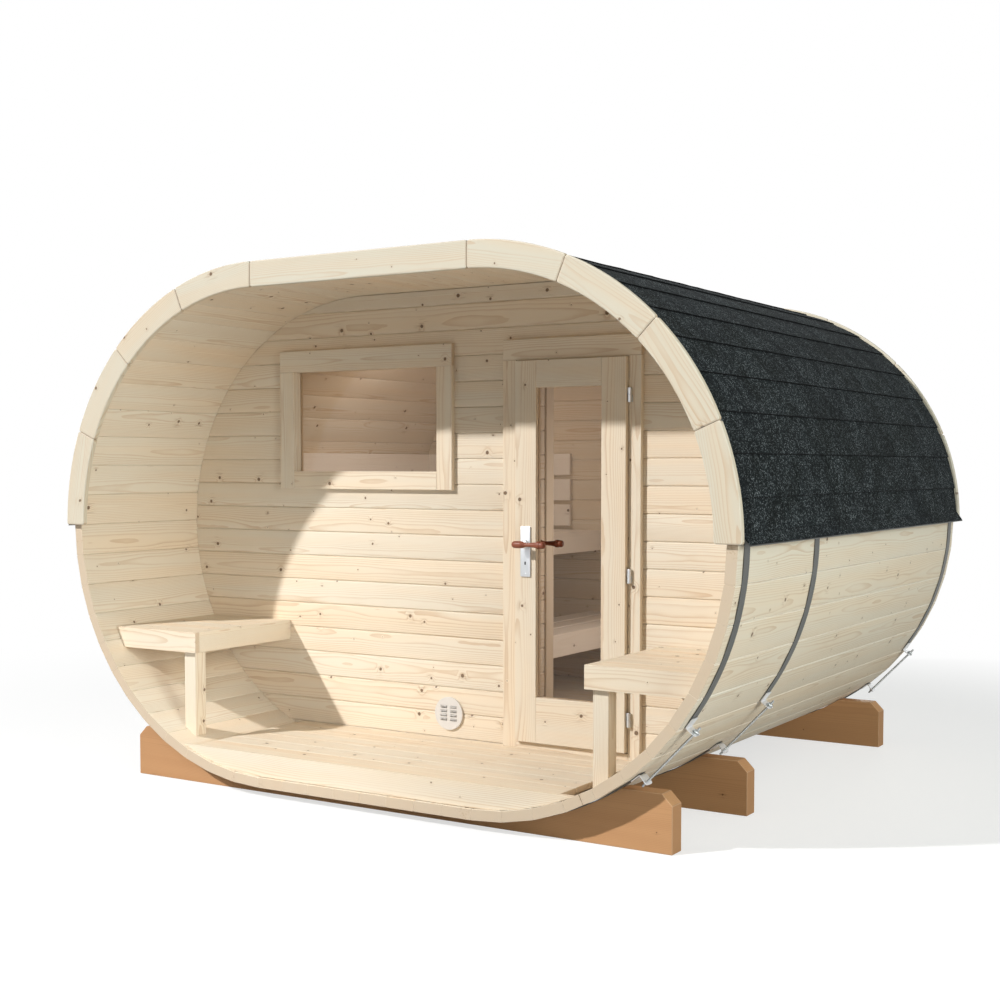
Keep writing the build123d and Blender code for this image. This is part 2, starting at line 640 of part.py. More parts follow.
def door_leaf():
    """The door: two stiles, two rails, a pane, long plates and turned levers on both faces."""
    y = (DOOR_FRONT, DOOR_BACK)
    left = (DOOR_LEFT, DOOR_LEFT + LATCH_STILE_WIDTH)
    right = (DOOR_RIGHT - HINGE_STILE_WIDTH, DOOR_RIGHT)
    between = (left[1] + JOINT_GAP / 2, right[0] - JOINT_GAP / 2)
    low = (DOOR_BOTTOM, DOOR_BOTTOM + DOOR_BOTTOM_RAIL_HEIGHT)
    high = (DOOR_TOP - DOOR_TOP_RAIL_HEIGHT, DOOR_TOP)
    pane_y = (DOOR_FRONT + DOOR_BACK) / 2
    pane = block(
        (left[1] + FIT_GAP, right[0] - FIT_GAP),
        (pane_y - GLASS_THICKNESS / 2, pane_y + GLASS_THICKNESS / 2),
        (low[1] + FIT_GAP, high[0] - FIT_GAP),
    )
    plate_x = DOOR_LEFT + PLATE_INSET_WIDTH
    middle = DOOR_BOTTOM + PLATE_RISE_HEIGHT
    plate_z = (middle - PLATE_HEIGHT / 2, middle + PLATE_HEIGHT / 2)
    lever_z = middle + LEVER_RISE_HEIGHT
    across = (plate_x - PLATE_WIDTH / 2, plate_x + PLATE_WIDTH / 2)
    plates = []
    levers = []
    for face, out in ((DOOR_FRONT, -1), (DOOR_BACK, 1)):
        depth = sorted((face, face + out * PLATE_THICKNESS))
        plate = block(across, depth, plate_z)
        boss_y = face + out * (PLATE_THICKNESS + BOSS_LENGTH / 2)
        boss = Pos(plate_x, boss_y, lever_z) * Rot(90, 0, 0) * Cylinder(BOSS_RADIUS, BOSS_LENGTH)
        grip_y = face + out * (PLATE_THICKNESS + LEVER_STANDOFF_LENGTH)
        grip = Pos(plate_x - LEVER_BACK_REACH, grip_y, lever_z) * lever()
        plates.append(plate + boss - grip)
        levers.append(grip)
    return {
        "door_stiles": [block(left, y, (DOOR_BOTTOM, DOOR_TOP)), block(right, y, (DOOR_BOTTOM, DOOR_TOP))],
        "door_rails": [block(between, y, low), block(between, y, high)],
        "door_glass": [pane],
        "door_handle_plates": plates,
        "door_levers": levers,
    }


def hinge_knuckle(height):
    """One half of a hinge's barrel, which stands before the casing beside the door's edge."""
    length = HINGE_LENGTH / 2 - JOINT_GAP / 2
    return Pos(HINGE_X, HINGE_Y, height) * Cylinder(HINGE_RADIUS, length)


def hinges():
    """Lift-off hinges: a half on the door's edge above a half on the casing."""
    half = HINGE_LENGTH / 4 - JOINT_GAP / 4
    shift = HINGE_LENGTH / 4 + JOINT_GAP / 4
    leaf = HINGE_LEAF_THICKNESS
    door_halves = []
    casing_halves = []
    for share in HINGE_HEIGHT_SHARES:
        height = DOOR_BOTTOM + share * (DOOR_TOP - DOOR_BOTTOM)
        upper = (height + shift - half, height + shift + half)
        lower = (height - shift - half, height - shift + half)
        bridge = block((DOOR_RIGHT, HINGE_X), (HINGE_Y - leaf / 2, HINGE_Y + leaf / 2), upper)
        door_leaf_y = (HINGE_Y - leaf / 2, HINGE_Y - leaf / 2 + HINGE_LEAF_WIDTH)
        plate = block((DOOR_RIGHT, DOOR_RIGHT + leaf), door_leaf_y, upper)
        door_halves.append(hinge_knuckle(height + shift) + bridge + plate)
        foot_x = (HINGE_X - HINGE_SIDE_REACH, HINGE_X + HINGE_RADIUS)
        foot = block(foot_x, (CASING_FRONT - leaf, CASING_FRONT), lower)
        casing_halves.append(hinge_knuckle(height - shift) + foot)
    return {"door_hinge_halves": door_halves, "casing_hinge_halves": casing_halves}


def vent():
    """The round vent cover with two columns of louvre slots."""
    middle = DOOR_LEFT - VENT_SIDE_GAP
    plate = Pos(middle, WALL_FRONT - VENT_THICKNESS / 2, VENT_HEIGHT) * Rot(90, 0, 0)
    cover = plate * Cylinder(VENT_RADIUS, VENT_THICKNESS)
    rise = (VENT_SLOT_ROW_COUNT - 1) / 2
    front = WALL_FRONT - VENT_THICKNESS
    for row in range(VENT_SLOT_ROW_COUNT):
        z = VENT_HEIGHT + (row - rise) * VENT_SLOT_PITCH
        for side in (-1, 1):
            x = middle + side * (VENT_SLOT_WIDTH + VENT_COLUMN_GAP) / 2
            cover -= block(
                (x - VENT_SLOT_WIDTH / 2, x + VENT_SLOT_WIDTH / 2),
                (front - CUT_OVERRUN, front + VENT_SLOT_DEPTH),
                (z - VENT_SLOT_HEIGHT / 2, z + VENT_SLOT_HEIGHT / 2),
            )
    return [cover]


def bench_boards(edge, start, top, y):
    """Bench boards along the barrel from an inner edge to a start, cut to the staves."""
    pitch = INNER_BENCH_BOARD_WIDTH + INNER_BENCH_GAP
    count = int((edge - start) / pitch)
    space = room(*y)
    boards = []
    for i in range(count):
        x = (edge - i * pitch - INNER_BENCH_BOARD_WIDTH, edge - i * pitch)
        boards.append(block(x, y, (top - BENCH_BOARD_THICKNESS, top)) & space)
    return boards


def inner_benches():
    """Upper and lower benches on the left, their aprons and bearers, and slatted backrests."""
    y = (WALL_BACK + FIT_GAP, REAR_WALL_FRONT - FIT_GAP)
    board = BENCH_BOARD_THICKNESS
    space = room(*y)
    result = {}
    bearers = []
    for name, edge, top, start in (
        ("upper_bench", UPPER_BENCH_EDGE, UPPER_BENCH_TOP_HEIGHT, -HALF_FLAT - RADIUS),
        ("lower_bench", LOWER_BENCH_EDGE, LOWER_BENCH_TOP_HEIGHT, UPPER_BENCH_EDGE - INNER_BENCH_BOARD_WIDTH),
    ):
        apron = block((edge - board, edge), y, (top - INNER_BENCH_APRON_HEIGHT, top))
        planks = bench_boards(edge - board - FIT_GAP, start, top, y)
        planks = [plank for plank in planks if plank.volume > 0]
        result[name] = planks + [apron]
        under = (top - board - INNER_BEARER_HEIGHT, top - board)
        reach = (start, edge - board - FIT_GAP)
        for run in ((y[0], y[0] + BEARER_WIDTH), (y[1] - BEARER_WIDTH, y[1])):
            bearers.append(block(reach, run, under) & space)
    result["bench_bearers"] = bearers
    result["backrests"] = backrests(y, space)
    return result


def backrests(y, space):
    """Slatted backrests over the upper bench, on the rear wall and along the left staves."""
    slats = []
    pitch = BACKREST_BOARD_WIDTH + BACKREST_GAP
    head = UPPER_BENCH_TOP_HEIGHT + BACKREST_RISE_HEIGHT
    for i in range(BACKREST_BOARD_COUNT):
        z = (head - i * pitch - BACKREST_BOARD_WIDTH, head - i * pitch)
        depth = (y[1] - BACKREST_THICKNESS, y[1])
        slats.append(block((-HALF_FLAT - RADIUS, BACKREST_END), depth, z) & space)
        rise = max(abs(height - CENTRE_HEIGHT) for height in z)
        wall_x = -HALF_FLAT - math.sqrt(ROOM_RADIUS**2 - rise**2)
        length = (y[0], depth[0] - FIT_GAP)
        slats.append(block((wall_x, wall_x + BACKREST_THICKNESS), length, z))
    return slats


def screen():
    """A short log screen from the front wall into the room, with a batten over its log ends."""
    start = WALL_BACK + FIT_GAP
    end = start + SCREEN_LENGTH
    first = FLOOR_TOP_HEIGHT + SCREEN_FIRST_LOG_HEIGHT
    limits = [FLOOR_TOP_HEIGHT, first]
    while limits[-1] < CEILING_HEIGHT:
        limits.append(limits[-1] + LOG_HEIGHT)
    space = room(start - CUT_OVERRUN, end + CUT_OVERRUN)
    logs = []
    for bottom, top in zip(limits, limits[1:]):
        log = block((SCREEN_LEFT, SCREEN_RIGHT), (start, end), (bottom, top - JOINT_GAP))
        log = chamfer(log.edges().filter_by(Axis.Y), LOG_GROOVE_DEPTH)
        logs.append(log & space)
    middle = (SCREEN_LEFT + SCREEN_RIGHT) / 2
    wide = SCREEN_BATTEN_THICKNESS / 2
    run = (end + FIT_GAP, end + FIT_GAP + SCREEN_BATTEN_WIDTH)
    batten = block((middle - wide, middle + wide), run, (FLOOR_TOP_HEIGHT, CEILING_HEIGHT)) & room(*run)
    return {"room_screen_logs": logs, "room_screen_batten": [batten]}


def all_nodes():
    """Every sub-part by name, as a list of separate solids."""
    nodes = {
        "bottom_staves": flat_staves(90),
        "top_staves": flat_staves(-90),
        "lower_right_staves": quarter_staves(-90),
        "upper_right_staves": quarter_staves(0),
        "rear_wall_logs": rear_wall(),
        "front_fascia": fascia(FRONT - FASCIA_THICKNESS),
        "rear_fascia": fascia(REAR),
        "hoops": hoops(),
        "hoop_tensioners": tensioners(),
        "vent_cover": vent(),
    }
    nodes["lower_left_staves"] = [mirrored(stave) for stave in nodes["lower_right_staves"]]
    nodes["upper_left_staves"] = [mirrored(stave) for stave in nodes["upper_right_staves"]]
    for name, start in CRADLE_PLACES.items():
        nodes[name] = [cradle(start)]
    shell = (front_wall, roof, floor, porch_benches)
    fittings = (window, door_frame, door_leaf, hinges, inner_benches, screen)
    for group in shell + fittings:
        nodes.update(group())
    return nodes


os.makedirs("parts", exist_ok=True)
for node, solids in all_nodes().items():
    pieces = [solid for piece in solids for solid in piece.solids()]
    export_step(Compound(children=pieces), os.path.join("parts", node + ".step"))
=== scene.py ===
"""Looks for the oval barrel sauna: timber, shingles, hoops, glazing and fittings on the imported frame."""

import json
import math
import random

import bmesh
import bpy
import numpy as np
from mathutils import Matrix, Vector

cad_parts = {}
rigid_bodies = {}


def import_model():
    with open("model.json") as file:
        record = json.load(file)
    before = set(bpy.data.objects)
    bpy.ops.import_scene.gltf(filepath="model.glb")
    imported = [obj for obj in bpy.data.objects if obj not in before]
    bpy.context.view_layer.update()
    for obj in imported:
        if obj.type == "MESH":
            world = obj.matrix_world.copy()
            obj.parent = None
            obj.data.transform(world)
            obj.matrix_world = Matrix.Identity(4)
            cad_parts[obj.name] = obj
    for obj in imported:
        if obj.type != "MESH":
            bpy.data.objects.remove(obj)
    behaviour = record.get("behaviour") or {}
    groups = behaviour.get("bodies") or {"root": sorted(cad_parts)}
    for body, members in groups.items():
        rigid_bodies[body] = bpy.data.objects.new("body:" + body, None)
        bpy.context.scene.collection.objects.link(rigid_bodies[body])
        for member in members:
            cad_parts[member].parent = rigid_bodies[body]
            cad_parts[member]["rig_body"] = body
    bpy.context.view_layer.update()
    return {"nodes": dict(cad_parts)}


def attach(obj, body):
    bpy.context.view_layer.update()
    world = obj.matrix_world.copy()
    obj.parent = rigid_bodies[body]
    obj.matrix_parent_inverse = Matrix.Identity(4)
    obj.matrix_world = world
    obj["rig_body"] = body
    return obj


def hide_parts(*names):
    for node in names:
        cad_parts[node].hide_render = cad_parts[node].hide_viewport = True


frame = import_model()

dice = random.Random(8975)

# Barrel, in metres, as in the part's source
HALF_FLAT = 0.480
RADIUS = 0.975
CENTRE_HEIGHT = 1.017
HALF_LENGTH = 1.225

# Camera fitted to the photograph
CAMERA_PLACE = (3.1946, -5.3732, 1.2583)
CAMERA_TURN = (87.01, 0.0, 32.03)
CAMERA_LENS = 52.58
CAMERA_SENSOR = 36.0
CAMERA_SHIFT_Y = 0.0418

# Lamps: place, aim, size across, power, tone and, for a narrow beam, its spread
SUN_TONE = (1.0, 1.0, 1.0)
SKY_TONE = (0.94, 1.0, 0.96)
BEAM_SPREAD = math.radians(60)
LAMPS = {
    "key": ((-8.6, -13.7, 11.8), (-0.1, -0.8, 0.95), 0.6, 3900, SUN_TONE),
    "fill": ((9.0, -3.5, 2.5), (-0.8, -0.9, 0.5), 5.0, 540, SKY_TONE),
    "side": ((6.0, 2.0, 5.5), (1.4, 0.5, 1.1), 4.0, 40, SKY_TONE),
    "room": ((0.85, 0.35, 1.00), (-0.2, 0.15, 0.65), 0.5, 4.8, SUN_TONE),
    "bench": ((-0.75, 0.30, 1.78), (-0.6, 0.5, 0.0), 0.6, 3.8, SUN_TONE),
    "bounce": ((0.7, -2.7, 0.75), (-1.05, -0.70, 0.35), 0.8, 1.9, SUN_TONE, BEAM_SPREAD),
    "back": ((-1.0, 10.0, 1.7), (0.0, 1.2, 0.9), 3.0, 300, SKY_TONE),
}

# Light from all round, and the floor
WORLD_LIGHT = 0.11
FLOOR_SIZE = 60.0
FLOOR_GREYS = (0.41, 0.43)
FLOOR_CLOUDS = 0.6
FLOOR_LIFT = 0.62
FLOOR_FADE = (2.4, 5.0)

# Rounded edges, and how far they are paled: by wear on most boards, by painted highlight along the staves'
# outer joints
BOARD_EDGE = 0.0013
STAVE_INNER_EDGE = 0.0006
STAVE_OUTER_EDGE = 0.0042
FASCIA_EDGE = 0.0045
BEAM_EDGE = 0.003
METAL_EDGE = 0.0008
EDGE_SEGMENTS = 2
EDGE_PROFILE = 0.5
EDGE_WEAR = 0.35
JOINT_HIGHLIGHT = 0.75

# Limits that tell edges against the staves, and the long joints on the staves' outside
SHELL_REACH = 0.933
STAVE_FACE = 0.970
LONG_EDGE = 0.5

# Angles between faces that count as crisp, and limits for cleaning a CAD mesh
ROUNDED_ANGLE = math.radians(25)
CRISP_ANGLE = math.radians(18)
TURNED_ANGLE = math.radians(40)
WELD_DISTANCE = 2e-5
FLAT_ANGLE = math.radians(0.4)

# Steps round turned forms and round the corners of plates
ROUND_STEPS = 24
ROD_STEPS = 12
SCREW_STEPS = 14
LEVER_STEPS = 32
VENT_RIM_STEPS = 64
NUT_SIDES = 6
CORNER_STEPS = 6
CORNER_EASE_SHARE = 0.3

# Grain: the pith's place off a board's middle, the shift along the tree, and what counts as a cut end
PITH_DEPTHS = (0.012, 0.075)
PITH_SHIFT = 0.05
GRAIN_RUN = 40.0
END_SHARE = 0.25

# Timber: colours, line contrast, share of knots and roughness
SPRUCE_LOOK = {
    "early": (0.738, 0.662, 0.540, 1), "warm": (0.768, 0.632, 0.470, 1), "late": (0.520, 0.330, 0.180, 1),
    "knot": (0.105, 0.055, 0.028, 1), "contrast": 0.54, "knot_share": 0.54, "rough": 0.66,
}
# Painted shade: the fascia boards take a darker, greyer copy of the spruce, as they catch more lamp light
# than the wall
SHADED_FASCIA_LOOK = {**SPRUCE_LOOK, "early": (0.620, 0.580, 0.476, 1), "warm": (0.650, 0.552, 0.418, 1)}
BENCH_LOOK = {
    **SPRUCE_LOOK, "early": (0.870, 0.810, 0.735, 1), "warm": (0.850, 0.760, 0.660, 1),
    "late": (0.700, 0.560, 0.430, 1), "contrast": 0.25, "knot_share": 0.15,
}
TREATED_LOOK = {
    "early": (0.535, 0.290, 0.136, 1), "warm": (0.485, 0.252, 0.114, 1), "late": (0.330, 0.155, 0.064, 1),
    "knot": (0.110, 0.048, 0.019, 1), "contrast": 0.34, "knot_share": 0.25, "rough": 0.72,
}
STAINED_LOOK = {
    "early": (0.255, 0.075, 0.040, 1), "warm": (0.235, 0.066, 0.034, 1), "late": (0.140, 0.036, 0.018, 1),
    "knot": (0.060, 0.020, 0.010, 1), "contrast": 0.6, "knot_share": 0.0, "rough": 0.42,
}

# Growth rings: width, wander, and where in a ring the wood darkens
RING_WIDTH = 0.0054
RING_WIDTH_SHARE = 0.3
RING_WANDER = 0.030
RING_JITTER = 0.0022
RING_DARKENING = (0.32, 0.96)
RING_EDGE = (1.0, 0.96)
RING_POWER = 2.3

# Knots: cells per metre, sizes, and the reach of each part in knot radii
KNOT_CELLS = 7.2
KNOT_SIZES = (0.0020, 0.0066)
KNOT_RARITY = 3.0
KNOT_WOBBLE = 0.004
KNOT_PUSH = 0.006
KNOT_CORE = (1.25, 0.7)
KNOT_HEART = (0.7, 0.2)
KNOT_SWIRL = (4.2, 0.6)
KNOT_FEATHER = (7.0, 1.0)
FEATHER_LIMITS = (0.52, 0.68)

# Noises in the wood: changes per metre along, across and through a board
SLOW_SCALES = (1.4, 4.0, 4.0)
FINE_SCALES = (9.0, 40.0, 40.0)
WOBBLE_SCALES = (60.0, 60.0, 20.0)
STREAK_SCALES = (14.0, 130.0, 130.0)
FIBRE_SCALES = (5.0, 420.0, 420.0)
PATCH_SCALES = (2.1, 9.0, 1.0)
FLUSH_SCALES = (0.9, 16.0, 3.0)

# How strongly each pattern colours, dulls and raises the wood
TINT_BLUSH = 0.30
FLUSH_BLUSH = (0.30, 0.75, 0.10, 0.80)
PATCH_LIMITS = (0.30, 0.66)
PATCH_FAINT_SHARE = 0.40
FIBRE_SHARE = 0.45
END_FADING = -0.75
END_COVER = 0.8
SWIRL_COVER = 0.10
FEATHER_COVER = 0.45
CORE_COVER = 0.92
HEART_COVER = 0.40
SAWN_SHARES = (0.4, 0.5)
RED_SHARES = (0.55, 0.45)
PALE_POWER = 0.5
RING_GLOSS = -0.07
FIBRE_RELIEF = 0.5
RING_RELIEF = -0.5
WOOD_BUMP = (0.0006, 0.35)
WOOD_SPECULAR = 0.35

# Metals: colour, roughness and strength of the spangle
HOOP_ZINC = ((0.135, 0.138, 0.130, 1), 0.40, 0.30)
ROD_STEEL = ((0.42, 0.43, 0.43, 1), 0.34, 0.2)
BRIGHT_ZINC = ((0.80, 0.81, 0.82, 1), 0.28, 0.15)
SATIN_STEEL = ((0.66, 0.68, 0.70, 1), 0.30, 0.1)
SPANGLE_CELLS = 150.0
STEEL_CLOUDS = 22.0
STEEL_SHADE = 0.66
STEEL_MOTTLE = 0.3
STEEL_DULLING = 0.18
STEEL_BUMP = (0.0004, 0.1)

# Plastics: colour and roughness
VENT_PLASTIC = ((0.70, 0.665, 0.625, 1), 0.42)
# Painted shade: the grey plates that stand for the shaded duct behind the vent's slots
VENT_DUCT_SHADE = ((0.40, 0.37, 0.34, 1), 0.7)
# Painted shade: the near-black plates that stand for the dark inside of the keyholes
KEYHOLE_SHADE = ((0.012, 0.012, 0.012, 1), 0.8)
PLASTIC_GRAINS = 900.0
PLASTIC_CLOUDS = 12.0
PLASTIC_SHADE = 0.92
PLASTIC_BUMP = (0.0002, 0.15)

# Glass: tint of what is seen through it, tint of the light that it lets in, and a faint ripple
GLASS_TONE = (0.80, 0.715, 0.640, 1)
GLASS_LIGHT_TONE = (0.86, 0.80, 0.74, 1)
GLASS_ROUGHNESS = 0.012
GLASS_IOR = 1.3
GLASS_RIPPLES = 2.5
GLASS_BUMP = (0.002, 0.02)

# Shingle felt: patterns per metre, colours, and the limits and strength of each pattern
GRANULE_CELLS = 300.0
FLECK_CELLS = 110.0
FELT_CLOUDS = 9.0
FELT_HUES = 2.7
FELT_BLUE = (0.0052, 0.0076, 0.0088, 1)
FELT_GREEN = (0.0050, 0.0074, 0.0066, 1)
FELT_CLOUD = (0.0145, 0.0190, 0.0205, 1)
FELT_DARK = (0.0035, 0.0045, 0.0050, 1)
FELT_FLECK = (0.036, 0.044, 0.047, 1)
BRIGHT_GRANULE = (0.190, 0.210, 0.220, 1)
DARK_GRANULE = (0.002, 0.0024, 0.003, 1)
BUTT_SHADOW = (0.001, 0.0012, 0.0014, 1)
HUE_LIMITS = (0.40, 0.60)
CLOUD_LIMITS = (0.40, 0.66)
FLECK_LIMITS = (0.62, 1.0)
BRIGHT_LIMITS = (0.78, 0.97)
BRIGHT_BY_CLOUD = (0.30, 0.66, 0.35, 1.0)
DARK_LIMITS = (0.72, 0.92)
TAB_TINT = 0.20
FLECK_COVER = 0.55
BUTT_COVER = 0.9
FELT_ROUGHNESS = 0.9
FELT_BUMP = (0.0012, 0.5)
FELT_SPECULAR = 0.08

# Shingle courses, with the tabs that the solids leave out
COURSES_PER_QUARTER = 11
FLAT_COURSES = 3
ROOF_RADIUS = 0.9801
SHINGLE_BUTT = 0.009
SHINGLE_HEAD = 0.0035
RIDGE_WIDTH = 0.137
KICK_WIDTH = 0.032
KICK_HEIGHT = 0.035
TAB_LENGTH = 0.333
TAB_GAP = 0.0016
TAB_STAGGER_SHARE = 0.1
SHORTEST_TAB = TAB_LENGTH / 4
TAB_STEPS_ALONG = 5
TAB_SHARES = (0.0, 0.025, 0.35, 0.68, 1.0)
TAB_LIFT = 0.0010
TAB_WANDER = 0.0008

# Hoop tensioners
HOOP_PLACES = (-1.157, -0.533, 1.157)
HOOP_WIDTH = 0.045
HOOP_THICKNESS = 0.002
HOOP_GAP_ANGLES = (-50.5, -37.0)
SHEET_SEAT = 0.9776
SHEET_REACH = 0.042
SHEET_THICKNESS = 0.003
SHEET_FOOT = 0.040
SHEET_BEND = 0.004
SHEET_CORNER = 0.010
SHEET_STEPS = 5
ROD_STANDOFF = 0.030
ROD_RADIUS = 0.0045
ROD_OVERHANG = 0.028
THREAD_PITCH = 0.003
THREAD_DEPTH = 0.0006
THREAD_SHARES = ((0.25, 1.0), (0.5, 0.0), (0.75, 1.0))
NUT_RADIUS = 0.010
NUT_THICKNESS = 0.009
NUT_FACE_SHARE = 0.88
NUT_EASE_SHARE = 1 / 6
WASHER_RADIUS = 0.0125
WASHER_THICKNESS = 0.0016

# Door handle
PLATE_X = 0.3265
PLATE_Z = 0.9305
PLATE_WIDTH = 0.044
PLATE_HEIGHT = 0.193
PLATE_THICKNESS = 0.006
PLATE_CORNER = 0.004
DOOR_FACES = ((-0.602, -1), (-0.562, 1))
LEVER_RISE = 0.0285
LEVER_LENGTH = 0.141
LEVER_RADIUS = 0.015
LEVER_STANDOFF = 0.045
LEVER_BACK_REACH = 0.0285
LEVER_PROFILE_SHARES = ((0.0, 0.0), (0.0, 0.45), (0.012, 0.70), (0.04, 0.84), (0.12, 0.92), (0.24, 0.93),
                        (0.31, 0.86), (0.37, 0.62), (0.42, 0.55), (0.52, 0.55), (0.64, 0.63), (0.75, 0.76),
                        (0.772, 0.80), (0.776, 0.98), (0.79, 1.0), (0.845, 1.0), (0.858, 0.97), (0.862, 0.86),
                        (0.92, 0.90), (0.965, 0.84), (0.99, 0.62), (1.0, 0.35), (1.0, 0.0))
NECK_RADIUS = 0.0085
NECK_PROFILE_SHARES = ((0.0, 1.94), (0.10, 1.94), (0.16, 1.67), (0.20, 1.2), (0.30, 1.0), (1.0, 1.0))
KEYHOLE_DROP = 0.073
KEYHOLE_SIZE = (0.006, 0.013, 0.0003)
SCREW_DROP = 0.086
SCREW_RADIUS = 0.0042
SCREW_SHARES = ((-0.3, 0.0), (-0.3, 0.8), (0.0, 1.0), (0.08, 0.9), (0.08, 0.5), (-0.25, 0.36), (-0.25, 0.0))

# Rebate strips in the gap round the door
REBATE_SIDES = (0.2725, 0.7555)
REBATE_HEIGHTS = (0.197, 1.661)
REBATE_WIDTH = 0.0025
REBATE_DEPTHS = (-0.5815, -0.5635)

# Wall vent
VENT_X = -0.0535
VENT_Z = 0.268
VENT_FRONT = -0.569
VENT_RADIUS = 0.066
VENT_RIM = 0.0016
VENT_RIM_SHARES = ((-1.0, 4.0), (0.2, 3.6), (0.5, 2.6), (0.2, 1.6), (-1.0, 1.2))
VENT_SLOT_WIDTH = 0.031
VENT_SLOT_HEIGHT = 0.008
VENT_SLOT_PITCH = 0.017
VENT_SLOT_ROWS = 4
VENT_SLOT_DEPTH = 0.0046
VENT_COLUMN = 0.023
HOOD_RISE = 0.0035
HOOD_DEPTH = 0.0045
HOOD_SKIN = 0.0010
HOOD_STEPS = (10, 5)
HOOD_SQUARENESS = 4

# Hinges
HINGE_X = 0.7615
HINGE_Y = -0.5903
HINGE_RADIUS = 0.008
HINGE_LENGTH = 0.052
HINGE_HEIGHTS = (0.3196, 0.8521, 1.5159)
HINGE_CAP = 0.0015
HINGE_CAP_SHARES = ((0.0, 0.8), (0.3, 0.82), (0.7, 0.6), (1.0, 0.25), (1.0, 0.0))

# Nodes of the CAD model by what dresses them
STAVE_NODES = [
    "bottom_staves", "top_staves", "lower_left_staves", "lower_right_staves", "upper_left_staves",
    "upper_right_staves",
]
BOARD_NODES = [
    "front_wall_left_logs", "front_wall_pier_logs", "front_wall_right_logs", "front_wall_top_logs",
    "front_wall_sill_log", "rear_wall_logs", "porch_riser", "porch_floor", "room_floor", "floor_bearers",
    "left_porch_bench_seat", "right_porch_bench_seat", "porch_bench_aprons", "porch_bench_legs",
    "window_casing", "window_frame", "window_beads", "door_casing", "door_stops", "door_threshold",
    "door_stiles", "door_rails", "bench_bearers", "room_screen_logs", "room_screen_batten",
]
INNER_BENCH_NODES = ["upper_bench", "lower_bench", "backrests"]
FASCIA_NODES = ["front_fascia", "rear_fascia"]
CRADLE_NODES = ["cradle_front", "cradle_middle", "cradle_rear"]
ROOF_NODES = ["roof_shingles_left", "roof_shingles_top", "roof_shingles_right"]
GLASS_NODES = ["window_glass", "door_glass"]

# Colour sockets of Blender's mix node, and the middle of a noise
MIX_INPUTS = (6, 7)
MIX_OUTPUT = 2
NOISE_MIDDLE = 0.5


def body_of(node):
    """The body that carries a CAD node."""
    return frame["nodes"][node]["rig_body"]


class Graph:
    """Short calls for building a tree of shader nodes."""

    def __init__(self, tree):
        self.tree = tree
        self.tree.nodes.clear()

    def add(self, kind, inputs=None, **settings):
        """A new node with its settings and inputs."""
        made = self.tree.nodes.new(kind)
        for key, value in settings.items():
            setattr(made, key, value)
        for key, value in (inputs or {}).items():
            self.put(made.inputs[key], value)
        return made

    def put(self, socket, value):
        """Link a socket to another node's, or set its value."""
        if isinstance(value, bpy.types.NodeSocket):
            self.tree.links.new(value, socket)
        else:
            socket.default_value = value

    def math(self, kind, first, second=0.0, third=0.0):
        """A number worked out from up to three others."""
        made = self.add("ShaderNodeMath", operation=kind)
        for socket, value in zip(made.inputs, (first, second, third)):
            self.put(socket, value)
        return made.outputs[0]

    def times(self, first, second):
        """Two numbers multiplied."""
        return self.math("MULTIPLY", first, second)

    def sway(self, base, noise, reach):
        """A number moved to both sides by a noise."""
        return self.math("MULTIPLY_ADD", self.math("SUBTRACT", noise, NOISE_MIDDLE), reach, base)

    def ramp(self, value, low, high, bottom=0.0, top=1.0):
        """A smooth step between two limits."""
        made = self.add("ShaderNodeMapRange", interpolation_type="SMOOTHSTEP")
        for key, number in zip(("Value", "From Min", "From Max", "To Min", "To Max"),
                               (value, low, high, bottom, top)):
            self.put(made.inputs[key], number)
        return made.outputs["Result"]

    def mix(self, factor, first, second):
        """A colour between two others."""
        made = self.add("ShaderNodeMix", {"Factor": factor}, data_type="RGBA")
        for place, colour in zip(MIX_INPUTS, (first, second)):
            self.put(made.inputs[place], colour)
        return made.outputs[MIX_OUTPUT]

    def scaled(self, parts, scales):
        """A vector of numbers, each times its scale."""
        numbers = {key: self.times(part, scale) for key, part, scale in zip("XYZ", parts, scales)}
        return self.add("ShaderNodeCombineXYZ", numbers).outputs[0]

    def noise(self, vector, scale=1.0, detail=2.0):
        """A soft noise from 0 to 1."""
        return self.add("ShaderNodeTexNoise", {"Vector": vector, "Scale": scale, "Detail": detail}).outputs[0]

    def cells(self, vector, scale=1.0, kind="3D"):
        """A Voronoi pattern: distances and random numbers of its cells."""
        made = self.add("ShaderNodeTexVoronoi", {"Vector": vector, "Scale": scale}, voronoi_dimensions=kind)
        chance = self.add("ShaderNodeSeparateColor", {"Color": made.outputs["Color"]}).outputs
        return made.outputs["Distance"], chance

    def place(self):
        """The point in the object's own frame."""
        return self.add("ShaderNodeTexCoord").outputs["Object"]

    def number(self, name):
        """A number kept on the mesh."""
        return self.add("ShaderNodeAttribute", attribute_name=name).outputs["Fac"]

    def relief(self, height, depth, strength):
        """A normal bent by fine heights."""
        bump = self.add("ShaderNodeBump", {"Height": height, "Strength": strength, "Distance": depth})
        return bump.outputs[0]

    def show(self, shader):
        """Put a shader on the surface."""
        self.add("ShaderNodeOutputMaterial", {"Surface": shader.outputs[0]})

    def finish(self, colour, roughness, height, depth, strength, **fixed):
        """Put a colour with fine relief on the surface."""
        shader = self.add("ShaderNodeBsdfPrincipled", {
            "Base Color": colour, "Roughness": roughness, "Normal": self.relief(height, depth, strength)})
        for key, value in fixed.items():
            shader.inputs[key.replace("_", " ")].default_value = value
        self.show(shader)


def new_material(name):
    """An empty node material and the graph that fills it."""
    made = bpy.data.materials.new(name)
    made.use_nodes = True
    return made, Graph(made.node_tree)


def dimmed(colour, share):
    """A darker shade of a colour."""
    return tuple(c * share for c in colour[:3]) + (1.0,)


def blended(first, second, shares):
    """A colour from shares of two others."""
    return tuple(shares[0] * a + shares[1] * b for a, b in zip(first, second))


